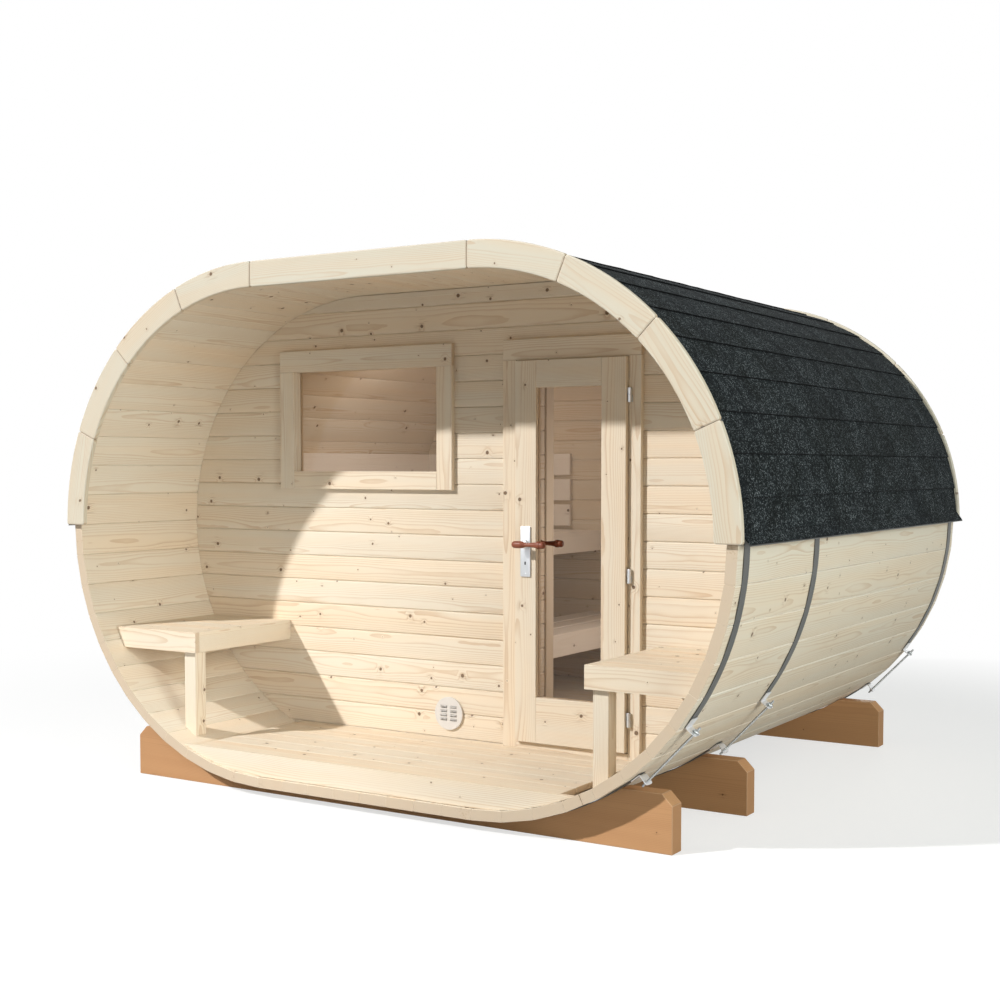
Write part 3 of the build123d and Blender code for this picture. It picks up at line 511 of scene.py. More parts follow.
def knots(g, parts, knot_share):
    """How much a point is in a knot, in its heart, in the grain bent round it and in its reddish feathers."""
    wobble = g.noise(g.scaled(parts, WOBBLE_SCALES))
    distance, chance = g.cells(g.scaled(parts, (KNOT_CELLS, KNOT_CELLS, 0.0)), kind="2D")
    kept = g.math("GREATER_THAN", chance[0], 1.0 - knot_share)
    reach = g.sway(g.math("DIVIDE", distance, KNOT_CELLS), wobble, KNOT_WOBBLE)
    size = g.math("MULTIPLY_ADD", g.math("POWER", chance[1], KNOT_RARITY), KNOT_SIZES[1], KNOT_SIZES[0])
    near = g.math("DIVIDE", reach, size)
    core, heart, swirl, round_about = [
        g.times(kept, g.ramp(near, *limits)) for limits in (KNOT_CORE, KNOT_HEART, KNOT_SWIRL, KNOT_FEATHER)]
    streak = g.noise(g.scaled(parts, STREAK_SCALES), detail=3.0)
    feather = g.times(round_about, g.ramp(streak, *FEATHER_LIMITS))
    return core, heart, swirl, feather


def rings(g, parts, tint, swirl):
    """Growth lines round the pith: slow darkening, then a crisp edge."""
    across, deep = parts[1], parts[2]
    slow = g.noise(g.scaled(parts, SLOW_SCALES))
    fine = g.noise(g.scaled(parts, FINE_SCALES))
    radius = g.math("SQRT", g.math("ADD", g.times(across, across), g.times(deep, deep)))
    radius = g.sway(radius, slow, RING_WANDER)
    radius = g.math("MULTIPLY_ADD", swirl, KNOT_PUSH, radius)
    radius = g.sway(radius, fine, RING_JITTER)
    width = g.math("MULTIPLY_ADD", tint, RING_WIDTH * RING_WIDTH_SHARE, RING_WIDTH)
    turn = g.math("FRACT", g.math("DIVIDE", radius, width))
    dark = g.math("POWER", g.ramp(turn, *RING_DARKENING), RING_POWER)
    return g.times(dark, g.ramp(turn, *RING_EDGE))


def timber(name, early, warm, late, knot, contrast, knot_share, rough):
    """Planed softwood: growth rings, knots that bend them, fine fibres, cut ends, and paler edges: wear on
    most boards, painted highlight along the staves' outer joints.
    """
    made, g = new_material(name)
    grain = g.add("ShaderNodeAttribute", attribute_name="grain").outputs["Vector"]
    parts = g.add("ShaderNodeSeparateXYZ", {"Vector": grain}).outputs
    tint = g.number("tint")
    end = g.number("end")
    core, heart, swirl, feather = knots(g, parts, knot_share)
    band = rings(g, parts, tint, swirl)
    fibre, patch, flush = [
        g.noise(g.scaled(parts, scales), detail=3.0) for scales in (FIBRE_SCALES, PATCH_SCALES, FLUSH_SCALES)]
    strength = g.times(band, g.ramp(patch, *PATCH_LIMITS, contrast * PATCH_FAINT_SHARE, contrast))
    strength = g.sway(strength, fibre, contrast * FIBRE_SHARE)
    strength = g.times(strength, g.math("MULTIPLY_ADD", end, END_FADING, 1.0))
    blush = g.math("MULTIPLY_ADD", tint, TINT_BLUSH, g.ramp(flush, *FLUSH_BLUSH))
    colour = g.mix(strength, g.mix(blush, early, warm), late)
    sawn = blended(early, late, SAWN_SHARES)
    red = blended(late, knot, RED_SHARES)
    for mask, cover, tone in (
        (end, END_COVER, sawn),
        (swirl, SWIRL_COVER, late),
        (feather, FEATHER_COVER, red),
        (core, CORE_COVER, knot),
        (heart, HEART_COVER, red),
    ):
        colour = g.mix(g.times(mask, cover), colour, tone)
    # Paler rounded edges: wear, and painted highlight along the staves' outer joints
    pale = tuple(c ** PALE_POWER for c in early)
    colour = g.mix(g.number("edge"), colour, pale)
    roughness = g.math("MULTIPLY_ADD", band, RING_GLOSS, rough)
    height = g.math("MULTIPLY_ADD", fibre, FIBRE_RELIEF, g.times(band, RING_RELIEF))
    g.finish(colour, roughness, height, *WOOD_BUMP, Specular_IOR_Level=WOOD_SPECULAR)
    return made


def steel(name, colour, rough, spangle):
    """Zinc-coated or satin steel with a soft mottle."""
    made, g = new_material(name)
    place = g.place()
    tone = g.cells(place, SPANGLE_CELLS)[1][0]
    cloud = g.noise(place, scale=STEEL_CLOUDS, detail=4.0)
    mottle = g.math("MULTIPLY_ADD", tone, spangle, g.times(cloud, STEEL_MOTTLE))
    roughness = g.math("MULTIPLY_ADD", cloud, STEEL_DULLING, rough)
    g.finish(g.mix(mottle, colour, dimmed(colour, STEEL_SHADE)), roughness, cloud, *STEEL_BUMP, Metallic=1.0)
    return made


def shingle_felt():
    """Charcoal bitumen with mineral granules, clouded in blue and green greys, with painted shade along the
    butts.
    """
    made, g = new_material("shingle_felt")
    place = g.place()
    granule = g.cells(place, GRANULE_CELLS)[1]
    fleck = g.cells(place, FLECK_CELLS)[1][0]
    cloud = g.noise(place, scale=FELT_CLOUDS, detail=5.0)
    hue = g.noise(place, scale=FELT_HUES, detail=3.0)
    bright = g.times(g.ramp(granule[0], *BRIGHT_LIMITS), g.ramp(cloud, *BRIGHT_BY_CLOUD))
    colour = g.mix(g.ramp(hue, *HUE_LIMITS), FELT_BLUE, FELT_GREEN)
    for mask, tone in (
        (g.ramp(cloud, *CLOUD_LIMITS), FELT_CLOUD),
        (g.math("MULTIPLY_ADD", g.number("tint"), TAB_TINT, TAB_TINT), FELT_DARK),
        (g.times(g.ramp(fleck, *FLECK_LIMITS), FLECK_COVER), FELT_FLECK),
        (bright, BRIGHT_GRANULE),
        (g.ramp(granule[1], *DARK_LIMITS), DARK_GRANULE),
        # painted shade along the tab butts, standing for the dark gap under each butt
        (g.times(g.number("edge"), BUTT_COVER), BUTT_SHADOW),
    ):
        colour = g.mix(mask, colour, tone)
    g.finish(colour, FELT_ROUGHNESS, granule[0], *FELT_BUMP, Specular_IOR_Level=FELT_SPECULAR)
    return made


def tinted_glass():
    """Bronze safety glass that lets light through to the room."""
    made, g = new_material("bronze_glass")
    ripple = g.noise(g.place(), scale=GLASS_RIPPLES, detail=1.0)
    pane = g.add("ShaderNodeBsdfPrincipled", {
        "Base Color": GLASS_TONE, "Roughness": GLASS_ROUGHNESS, "IOR": GLASS_IOR, "Transmission Weight": 1.0,
        "Normal": g.relief(ripple, *GLASS_BUMP)})
    clear = g.add("ShaderNodeBsdfTransparent", {"Color": GLASS_LIGHT_TONE})
    path = g.add("ShaderNodeLightPath").outputs
    passing = g.math("MAXIMUM", path["Is Shadow Ray"], path["Is Diffuse Ray"])
    g.show(g.add("ShaderNodeMixShader", {0: passing, 1: pane.outputs[0], 2: clear.outputs[0]}))
    return made


def moulded_plastic(name, colour, rough):
    """Matt moulded plastic with a faint grain."""
    made, g = new_material(name)
    place = g.place()
    fine = g.noise(place, scale=PLASTIC_GRAINS)
    cloud = g.noise(place, scale=PLASTIC_CLOUDS, detail=3.0)
    g.finish(g.mix(cloud, colour, dimmed(colour, PLASTIC_SHADE)), rough, fine, *PLASTIC_BUMP)
    return made


def islands(mesh):
    """The separate solids of a bmesh, as lists of vertices."""
    seen = set()
    groups = []
    for start in mesh.verts:
        if start in seen:
            continue
        seen.add(start)
        group = [start]
        for vert in group:
            for edge in vert.link_edges:
                other = edge.other_vert(vert)
                if other not in seen:
                    seen.add(other)
                    group.append(other)
        groups.append(group)
    return groups


def numbered_islands(mesh):
    """The separate solids of a bmesh, as lists of vertex numbers."""
    mesh.verts.index_update()
    return [[vert.index for vert in group] for group in islands(mesh)]


def straight_grain(points):
    """Coordinates along, across and through a straight board."""
    centre = points.mean(axis=0)
    axes = np.linalg.eigh(np.cov((points - centre).T))[1]
    return (points - centre) @ axes[:, ::-1]


def curved_grain(points):
    """Coordinates along, across and through a fascia board, which follows the barrel's round side."""
    if abs(points[:, 0].mean()) < HALF_FLAT / 2:
        return straight_grain(points)
    side = math.copysign(HALF_FLAT, points[:, 0].mean())
    x = np.abs(points[:, 0] - side)
    z = points[:, 2] - CENTRE_HEIGHT
    angle = np.arctan2(z, x)
    depth = points[:, 1] - points[:, 1].mean()
    straight = (angle - angle.mean()) * RADIUS
    sag = np.hypot(x, z) * np.cos(angle - angle.mean()) - RADIUS
    return np.stack([straight, sag, depth], axis=1)


def clean_copy(node):
    """A bmesh of a CAD node with shared vertices and whole faces."""
    mesh = bmesh.new()
    mesh.from_mesh(frame["nodes"][node].data)
    bmesh.ops.remove_doubles(mesh, verts=mesh.verts, dist=WELD_DISTANCE)
    bmesh.ops.dissolve_limit(mesh, angle_limit=FLAT_ANGLE, verts=mesh.verts, edges=mesh.edges)
    return mesh


def shell_radius(point):
    """How far a point lies from the barrel's flat axis."""
    return math.hypot(max(abs(point[0]) - HALF_FLAT, 0), point[2] - CENTRE_HEIGHT)


def crisp_edges(mesh):
    """The edges of a bmesh that need rounding."""
    return [e for e in mesh.edges if e.is_manifold and e.calc_face_angle(0.0) > ROUNDED_ANGLE]


def on_shell(edge):
    """Whether an edge lies tight against the staves."""
    return all(SHELL_REACH < shell_radius(vert.co) < STAVE_FACE for vert in edge.verts)


def outer_joint(edge):
    """Whether an edge runs along the joint between two staves, on the outside."""
    outside = all(shell_radius(vert.co) > STAVE_FACE for vert in edge.verts)
    return outside and edge.calc_length() > LONG_EDGE


def round_edges(mesh, edges, width, wear_and_highlight=EDGE_WEAR):
    """Round edges of a bmesh, and mark the rounded ridges with a share of paling: wear on most edges, painted
    highlight on the staves' outer joints.
    """
    layers = mesh.verts.layers.float
    ridge = layers.get("edge") or layers.new("edge")
    made = bmesh.ops.bevel(mesh, geom=edges, offset=width, segments=EDGE_SEGMENTS, profile=EDGE_PROFILE,
                           affect="EDGES", clamp_overlap=True)
    rounded = set(made["faces"])
    for vert in made["verts"]:
        if all(face in rounded for face in vert.link_faces):
            vert[ridge] = wear_and_highlight


def shade(mesh, crisp=CRISP_ANGLE):
    """Smooth shading with crisp edges kept."""
    for face in mesh.faces:
        face.smooth = True
    for edge in mesh.edges:
        edge.smooth = not edge.is_manifold or edge.calc_face_angle(0.0) < crisp


def to_object(mesh, name, material):
    """A scene object from a bmesh."""
    data = bpy.data.meshes.new(name)
    mesh.to_mesh(data)
    mesh.free()
    data.materials.append(material)
    made = bpy.data.objects.new(name, data)
    bpy.context.scene.collection.objects.link(made)
    return made


def turned_object(mesh, name, material):
    """A scene object from a bmesh of turned or bent forms."""
    bmesh.ops.recalc_face_normals(mesh, faces=mesh.faces)
    shade(mesh, TURNED_ANGLE)
    return to_object(mesh, name, material)


def fit(piece, body, slot, *nodes):
    """Let a piece ride on a body and stand for CAD nodes; the slot is not used."""
    if nodes:
        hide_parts(*nodes)
    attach(piece, body)
    return piece


def store(data, name, kind, values, domain="POINT"):
    """Keep numbers on a mesh's points or faces for its material."""
    layer = data.attributes.new(name, kind, domain)
    key = "vector" if kind == "FLOAT_VECTOR" else "value"
    layer.data.foreach_set(key, np.asarray(values, np.float32).ravel())


def keep_tints(piece, groups):
    """Store a tint of its own for each solid of a piece."""
    tints = np.zeros(len(piece.data.vertices))
    for ids in groups:
        tints[ids] = dice.uniform(-1, 1)
    store(piece.data, "tint", "FLOAT", tints)


def keep_grain(piece, groups, grain):
    """Store a grain of its own for each board of a piece, and mark the boards' cut ends."""
    points = np.empty(len(piece.data.vertices) * 3)
    piece.data.vertices.foreach_get("co", points)
    points = points.reshape(-1, 3)
    coords = np.zeros_like(points)
    for ids in groups:
        pith = dice.choice((-1, 1)) * dice.uniform(*PITH_DEPTHS)
        shift = (dice.uniform(0, GRAIN_RUN), dice.uniform(-PITH_SHIFT, PITH_SHIFT), pith)
        coords[ids] = grain(points[ids]) + np.array(shift)
    store(piece.data, "grain", "FLOAT_VECTOR", coords)
    spreads = [np.ptp(coords[list(face.vertices)], axis=0) for face in piece.data.polygons]
    ends = np.array([float(run < END_SHARE * max(wide, deep)) for run, wide, deep in spreads])
    store(piece.data, "end", "FLOAT", ends, "FACE")


def dress(node, material, slot, grain=straight_grain, edge=BOARD_EDGE):
    """Replace a timber node by rounded boards, each with a grain of its own."""
    mesh = clean_copy(node)
    if node in STAVE_NODES:
        inner = [e for e in crisp_edges(mesh) if not outer_joint(e)]
        round_edges(mesh, inner, STAVE_INNER_EDGE)
        joints = [e for e in crisp_edges(mesh) if outer_joint(e)]
        # the outer joints are paled more, as painted highlight where the rounded joints catch light
        round_edges(mesh, joints, STAVE_OUTER_EDGE, JOINT_HIGHLIGHT)
    else:
        round_edges(mesh, [e for e in crisp_edges(mesh) if not on_shell(e)], edge)
    shade(mesh)
    groups = numbered_islands(mesh)
    piece = to_object(mesh, node + "_timber", material)
    keep_grain(piece, groups, grain)
    keep_tints(piece, groups)
    fit(piece, body_of(node), slot, node)


def soften(node, material, slot, edge=METAL_EDGE):
    """Replace a metal or plastic node by the same form with rounded edges."""
    mesh = clean_copy(node)
    round_edges(mesh, crisp_edges(mesh), edge)
    shade(mesh)
    fit(to_object(mesh, node + "_finished", material), body_of(node), slot, node)


def paint(node, material):
    """Give a CAD node a better material."""
    data = frame["nodes"][node].data
    data.materials.clear()
    data.materials.append(material)


def frame_on(origin, direction):
    """A placing matrix whose Z axis runs along a direction."""
    turn = Vector(direction).to_track_quat("Z", "Y").to_matrix().to_4x4()
    return Matrix.Translation(Vector(origin)) @ turn


def lathe(mesh, profile, place, steps=ROUND_STEPS):
    """Turn a profile of (along, radius) points about an axis."""
    angles = [2 * math.pi * i / steps for i in range(steps)]
    turns = []
    for along, radius in profile:
        points = [(0, 0, along)]
        if radius:
            points = [(radius * math.cos(a), radius * math.sin(a), along) for a in angles]
        turns.append([mesh.verts.new(place @ Vector(point)) for point in points])
    for lower, upper in zip(turns, turns[1:]):
        for i in range(steps):
            corners = [lower[i % len(lower)], lower[(i + 1) % len(lower)],
                       upper[(i + 1) % len(upper)], upper[i % len(upper)]]
            corners = list(dict.fromkeys(corners))
            if len(corners) > 2:
                mesh.faces.new(corners)


def bar(mesh, radius, start, end, place, ease):
    """A round bar with eased ends."""
    lathe(mesh, [(start, 0), (start, radius - ease), (start + ease, radius), (end - ease, radius),
                 (end, radius - ease), (end, 0)], place)


def polar(radius, angle):
    """A point of the right round side across the barrel."""
    turn = math.radians(angle)
    return HALF_FLAT + radius * math.cos(turn), CENTRE_HEIGHT + radius * math.sin(turn)


def side_point(share, low, high, thick):
    """A point of a side course between two angles, raised by a thickness."""
    return polar(ROOF_RADIUS + thick, low + share * (high - low))


def flat_point(share, low, high, thick):
    """A point of a flat course between two places across the barrel."""
    return low + share * (high - low), CENTRE_HEIGHT + ROOF_RADIUS + thick


def kick_point(share, low, high, thick):
    """A point of the starter strip, which kicks outward to its tip."""
    out = (1 - share) * KICK_WIDTH
    return polar(ROOF_RADIUS + out + thick, low + share * (high - low))


def tab(mesh, point, span, limits, thicknesses, mirror):
    """One shingle tab as a closed curved plate, its butt marked for painted shade."""
    low, high = limits
    butt, head = thicknesses
    shadow = mesh.verts.layers.float["edge"]
    columns = np.linspace(span[0], span[1], TAB_STEPS_ALONG + 1)
    wander = [dice.uniform(-TAB_WANDER, TAB_WANDER) for _ in columns]
    top = []
    under = []
    for y, drift in zip(columns, wander):
        upper = []
        lower = []
        for share in TAB_SHARES:
            x, z = point(share, low, high, butt + share * (head - butt) + drift * (1 - share))
            upper.append(mesh.verts.new((mirror * x, y, z)))
            x, z = point(share, low, high, 0.0)
            lower.append(mesh.verts.new((mirror * x, y, z)))
        upper[0][shadow] = 1.0
        lower[0][shadow] = 1.0
        top.append(upper)
        under.append(lower)
    rows = range(len(TAB_SHARES) - 1)
    for j in range(TAB_STEPS_ALONG):
        for i in rows:
            mesh.faces.new((top[j][i], top[j + 1][i], top[j + 1][i + 1], top[j][i + 1]))
            mesh.faces.new((under[j][i], under[j][i + 1], under[j + 1][i + 1], under[j + 1][i]))
        mesh.faces.new((top[j][0], under[j][0], under[j + 1][0], top[j + 1][0]))
        mesh.faces.new((top[j][-1], top[j + 1][-1], under[j + 1][-1], under[j][-1]))
    for j in (0, -1):
        for i in rows:
            mesh.faces.new((top[j][i], top[j][i + 1], under[j][i + 1], under[j][i]))


def course(mesh, point, limits, thicknesses, mirror, number):
    """A course of tabs, each row shifted by half a tab."""
    starts = [-HALF_LENGTH]
    first = 0.5 if number % 2 else 1.0
    stagger = dice.uniform(-TAB_STAGGER_SHARE, TAB_STAGGER_SHARE)
    edge = -HALF_LENGTH + TAB_LENGTH * first + stagger * TAB_LENGTH
    while edge < HALF_LENGTH - SHORTEST_TAB:
        starts.append(edge)
        edge += TAB_LENGTH
    for start, end in zip(starts, starts[1:] + [HALF_LENGTH + TAB_GAP]):
        butt = thicknesses[0] - dice.uniform(0, TAB_LIFT)
        tab(mesh, point, (start, end - TAB_GAP), limits, (butt, thicknesses[1]), mirror)


def tab_mesh():
    """An empty bmesh with a place for the painted shade along the butts."""
    mesh = bmesh.new()
    mesh.verts.layers.float.new("edge")
    return mesh


def roof_side(mirror):
    """The courses of one round side, with the starter strip at the eave."""
    mesh = tab_mesh()
    step = 90.0 / COURSES_PER_QUARTER
    kick = math.degrees(KICK_HEIGHT / ROOF_RADIUS)
    course(mesh, kick_point, (0.0, kick), (SHINGLE_HEAD - TAB_WANDER, SHINGLE_BUTT), mirror, 0)
    for i in range(COURSES_PER_QUARTER):
        limits = (max(i * step, kick), (i + 1) * step)
        course(mesh, side_point, limits, (SHINGLE_BUTT, SHINGLE_HEAD), mirror, i)
    return mesh


def roof_top():
    """The courses of the flat top and the ridge strip."""
    mesh = tab_mesh()
    half = RIDGE_WIDTH / 2
    step = (HALF_FLAT - half) / FLAT_COURSES
    for i in range(FLAT_COURSES):
        limits = (HALF_FLAT - i * step, HALF_FLAT - (i + 1) * step)
        for mirror in (1, -1):
            course(mesh, flat_point, limits, (SHINGLE_BUTT, SHINGLE_HEAD), mirror, i)
    course(mesh, flat_point, (half, -half), (SHINGLE_BUTT, SHINGLE_BUTT), 1, 1)
    return mesh


def roof(material):
    """Dress the three roof nodes with tabs."""
    for node, mesh in zip(ROOF_NODES, (roof_side(-1), roof_top(), roof_side(1))):
        groups = numbered_islands(mesh)
        piece = turned_object(mesh, node + "_tabs", material)
        keep_tints(piece, groups)
        fit(piece, body_of(node), "shingle", node)


def ribbon(mesh, path, middle, thickness):
    """A bent strip of sheet along points (x, z, width) across the barrel."""
    rows = []
    for i, (x, z, width) in enumerate(path):
        before = path[max(i - 1, 0)]
        after = path[min(i + 1, len(path) - 1)]
        normal = Vector((before[1] - after[1], after[0] - before[0])).normalized() * thickness / 2
        corners = ((1, -1), (1, 1), (-1, 1), (-1, -1))
        rows.append([mesh.verts.new((x + face * normal[0], middle + side * width / 2, z + face * normal[1]))
                     for face, side in corners])
    for a, b in zip(rows, rows[1:]):
        for i in range(4):
            mesh.faces.new((a[i], a[(i + 1) % 4], b[(i + 1) % 4], b[i]))
    mesh.faces.new(rows[0])
    mesh.faces.new(rows[-1][::-1])


def sheet_path(angle, out):
    """The middle line of a hoop's bent end: along the band, round the bend, and out to rounded corners."""
    turn = math.radians(angle)
    half = SHEET_THICKNESS / 2
    points = [(half, SHEET_FOOT, HOOP_WIDTH)]
    for i in range(SHEET_STEPS + 1):
        swing = math.pi / 2 * i / SHEET_STEPS
        bend = half + SHEET_BEND
        points.append((bend - SHEET_BEND * math.cos(swing), bend - SHEET_BEND * math.sin(swing), HOOP_WIDTH))
    for i in range(SHEET_STEPS + 1):
        swing = math.pi / 2 * i / SHEET_STEPS
        rise = SHEET_REACH - SHEET_CORNER * (1 - math.sin(swing))
        points.append((rise, half, HOOP_WIDTH - 2 * SHEET_CORNER * (1 - math.cos(swing))))
    path = []
    for rise, along, width in points:
        x, z = polar(SHEET_SEAT + rise, angle)
        path.append((x - math.sin(turn) * out * along, z + math.cos(turn) * out * along, width))
    return path


def thread_profile(start, end):
    """The zigzag of a threaded rod."""
    count = int((end - start) / THREAD_PITCH)
    profile = [(start, 0), (start, ROD_RADIUS - 2 * THREAD_DEPTH)]
    for i in range(count):
        along = start + i * THREAD_PITCH
        for share, depth in THREAD_SHARES:
            profile.append((along + THREAD_PITCH * share, ROD_RADIUS - THREAD_DEPTH * depth))
    return profile + [(end, ROD_RADIUS - 2 * THREAD_DEPTH), (end, 0)]


def nut(mesh, start, end, place):
    """A hexagon nut with eased corners."""
    ease = (end - start) * NUT_EASE_SHARE
    small = NUT_RADIUS * NUT_FACE_SHARE
    lathe(mesh, [(start, 0), (start, small), (start + ease, NUT_RADIUS), (end - ease, NUT_RADIUS),
                 (end, small), (end, 0)], place, NUT_SIDES)


def tensioners(sheet, rod):
    """Bent tabs on the hoops' ends, threaded rods between them, and a washer and nut behind each tab."""
    tabs = bmesh.new()
    rods = bmesh.new()
    low, high = [Vector(polar(SHEET_SEAT + ROD_STANDOFF, angle)) for angle in HOOP_GAP_ANGLES]
    half = (high - low).length / 2
    middle = (low + high) / 2
    for y in HOOP_PLACES:
        place = frame_on((middle[0], y, middle[1]), (high[0] - low[0], 0, high[1] - low[1]))
        lathe(rods, thread_profile(-half - ROD_OVERHANG, half + ROD_OVERHANG), place, ROD_STEPS)
        for angle, out in zip(HOOP_GAP_ANGLES, (-1, 1)):
            ribbon(tabs, sheet_path(angle, out), y, SHEET_THICKNESS)
            seat = half + SHEET_THICKNESS
            marks = [out * (seat + along) for along in (0, WASHER_THICKNESS, NUT_THICKNESS)]
            bar(rods, WASHER_RADIUS, min(marks[:2]), max(marks[:2]), place, METAL_EDGE / 2)
            nut(rods, min(marks[1:]), max(marks[1:]), place)
    round_edges(tabs, crisp_edges(tabs), METAL_EDGE)
    fit(turned_object(tabs, "hoop_tabs", sheet), "building", "zinc_steel", "hoop_tensioners")
    fit(turned_object(rods, "tension_rods", rod), "building", "zinc_steel")


def rounded_plate(mesh, place, width, height, thickness, corner, ease):
    """A plate with round corners and an eased front edge, lying in the placing's XY plane."""
    outline = []
    for cx, cy, start in ((1, 1, 0), (-1, 1, 90), (-1, -1, 180), (1, -1, 270)):
        middle = (cx * (width / 2 - corner), cy * (height / 2 - corner))
        for i in range(CORNER_STEPS + 1):
            turn = math.radians(start + 90 * i / CORNER_STEPS)
            outline.append((*middle, math.cos(turn), math.sin(turn)))
    first = ease * CORNER_EASE_SHARE
    levels = ((0, 0), (thickness - ease, 0), (thickness - first, first), (thickness, ease))
    layers = []
    for level, inset in levels:
        reach = corner - inset
        layers.append([mesh.verts.new(place @ Vector((x + reach * c, y + reach * s, level)))
                       for x, y, c, s in outline])
    count = len(outline)
    for lower, upper in zip(layers, layers[1:]):
        for i in range(count):
            mesh.faces.new((lower[i], lower[(i + 1) % count], upper[(i + 1) % count], upper[i]))
    mesh.faces.new(layers[-1])
    mesh.faces.new(layers[0][::-1])


def screw(mesh, place, radius):
    """A countersunk screw head with a drive recess."""
    lathe(mesh, [(radius * along, radius * wide) for along, wide in SCREW_SHARES], place, SCREW_STEPS)


def handles(metal, dark, wood):
    """Long plates with a rose, a screw and a keyhole drawn as a thin dark plate of painted shade, and turned
    levers, on both faces of the door.
    """
    plates = bmesh.new()
    keyholes = bmesh.new()
    levers = bmesh.new()
    lever_z = PLATE_Z + LEVER_RISE
    for face, out in DOOR_FACES:
        front = face + out * PLATE_THICKNESS
        rounded_plate(plates, frame_on((PLATE_X, face, PLATE_Z), (0, out, 0)), PLATE_WIDTH, PLATE_HEIGHT,
                      PLATE_THICKNESS, PLATE_CORNER, 2 * METAL_EDGE)
        neck = [(LEVER_STANDOFF * along, NECK_RADIUS * wide) for along, wide in NECK_PROFILE_SHARES]
        lathe(plates, neck, frame_on((PLATE_X, front, lever_z), (0, out, 0)))
        screw(plates, frame_on((PLATE_X, front, PLATE_Z - SCREW_DROP), (0, out, 0)), SCREW_RADIUS)
        hole = frame_on((PLATE_X, front, lever_z - KEYHOLE_DROP), (0, out, 0))
        width, height, depth = KEYHOLE_SIZE
        rounded_plate(keyholes, hole, width, height, depth, width / 2, depth / 2)
        grip = frame_on((PLATE_X - LEVER_BACK_REACH, front + out * LEVER_STANDOFF, lever_z), (1, 0, 0))
        profile = [(LEVER_LENGTH * along, LEVER_RADIUS * wide) for along, wide in LEVER_PROFILE_SHARES]
        lathe(levers, profile, grip, LEVER_STEPS)
    groups = numbered_islands(levers)
    piece = turned_object(plates, "door_handle_plates_finished", metal)
    fit(piece, "door", "satin_steel", "door_handle_plates")
    fit(turned_object(keyholes, "door_keyholes", dark), "door", "satin_steel")
    piece = fit(turned_object(levers, "door_levers_turned", wood), "door", "stained_wood", "door_levers")
    keep_grain(piece, groups, straight_grain)


def rebate(wood):
    """Thin strips on the casing that narrow the gap round the door."""
    mesh = bmesh.new()
    left, right = REBATE_SIDES
    bottom, top = REBATE_HEIGHTS
    front, back = REBATE_DEPTHS
    for x, z in (((left, left + REBATE_WIDTH), (bottom, top)), ((right - REBATE_WIDTH, right), (bottom, top)),
                 ((left, right), (top - REBATE_WIDTH, top))):
        made = bmesh.ops.create_cube(mesh, size=1.0)
        size = Matrix.Diagonal((x[1] - x[0], back - front, z[1] - z[0], 1.0))
        middle = Matrix.Translation((sum(x) / 2, (front + back) / 2, sum(z) / 2))
        bmesh.ops.transform(mesh, matrix=middle @ size, verts=made["verts"])
    round_edges(mesh, crisp_edges(mesh), METAL_EDGE)
    shade(mesh)
    groups = numbered_islands(mesh)
    piece = fit(to_object(mesh, "door_rebate_strips", wood), "building", "spruce")
    keep_grain(piece, groups, straight_grain)
    keep_tints(piece, groups)


def hood(mesh, x, z):
    """A louvre hood: a skin that bulges out over its slot."""
    across, down = HOOD_STEPS
    top = z + VENT_SLOT_HEIGHT / 2 + HOOD_RISE
    drop = VENT_SLOT_HEIGHT / 2 + HOOD_RISE
    rows = []
    for i in range(down + 1):
        fall = i / down
        row = []
        for j in range(across + 1):
            side = 2 * j / across - 1
            bulge = math.sin(fall * math.pi / 2) * math.sqrt(1 - side ** HOOD_SQUARENESS)
            row.append(mesh.verts.new((x + side * (VENT_SLOT_WIDTH / 2 + HOOD_SKIN),
                                       VENT_FRONT - HOOD_DEPTH * bulge, top - fall * drop)))
        rows.append(row)
    faces = [mesh.faces.new((a[j], a[j + 1], b[j + 1], b[j]))
             for a, b in zip(rows, rows[1:]) for j in range(across)]
    bmesh.ops.solidify(mesh, geom=faces, thickness=HOOD_SKIN)


def vent(plastic, recess):
    """The vent cover with a raised rim, louvre hoods over its slots, and grey plates behind them as painted
    shade in the duct.
    """
    soften("vent_cover", plastic, "white_plastic")
    hoods = bmesh.new()
    duct = bmesh.new()
    rim = frame_on((VENT_X, VENT_FRONT, VENT_Z), (0, -1, 0))
    profile = [(VENT_RIM * rise, VENT_RADIUS - VENT_RIM * inset) for rise, inset in VENT_RIM_SHARES]
    lathe(hoods, profile, rim, VENT_RIM_STEPS)
    middle = (VENT_SLOT_ROWS - 1) / 2
    for row in range(VENT_SLOT_ROWS):
        z = VENT_Z + (row - middle) * VENT_SLOT_PITCH
        for x in (VENT_X - VENT_COLUMN, VENT_X + VENT_COLUMN):
            hood(hoods, x, z)
            slot = frame_on((x, VENT_FRONT + VENT_SLOT_DEPTH, z), (0, -1, 0))
            rounded_plate(duct, slot, VENT_SLOT_WIDTH - METAL_EDGE, VENT_SLOT_HEIGHT - METAL_EDGE,
                          METAL_EDGE / 2, METAL_EDGE, METAL_EDGE / 4)
    fit(turned_object(hoods, "vent_hoods", plastic), "building", "white_plastic")
    fit(turned_object(duct, "vent_duct_shadow", recess), "building", "white_plastic")


def hinges(metal):
    """Rounded hinge halves with caps on their barrels."""
    soften("door_hinge_halves", metal, "satin_steel")
    soften("casing_hinge_halves", metal, "satin_steel")
    for name, body, out in (("hinge_caps_upper", "door", 1), ("hinge_caps_lower", "building", -1)):
        mesh = bmesh.new()
        for height in HINGE_HEIGHTS:
            place = frame_on((HINGE_X, HINGE_Y, height + out * HINGE_LENGTH / 2), (0, 0, out))
            lathe(mesh, [(HINGE_CAP * rise, HINGE_RADIUS * wide) for rise, wide in HINGE_CAP_SHARES], place)
        fit(turned_object(mesh, name, metal), body, "satin_steel")


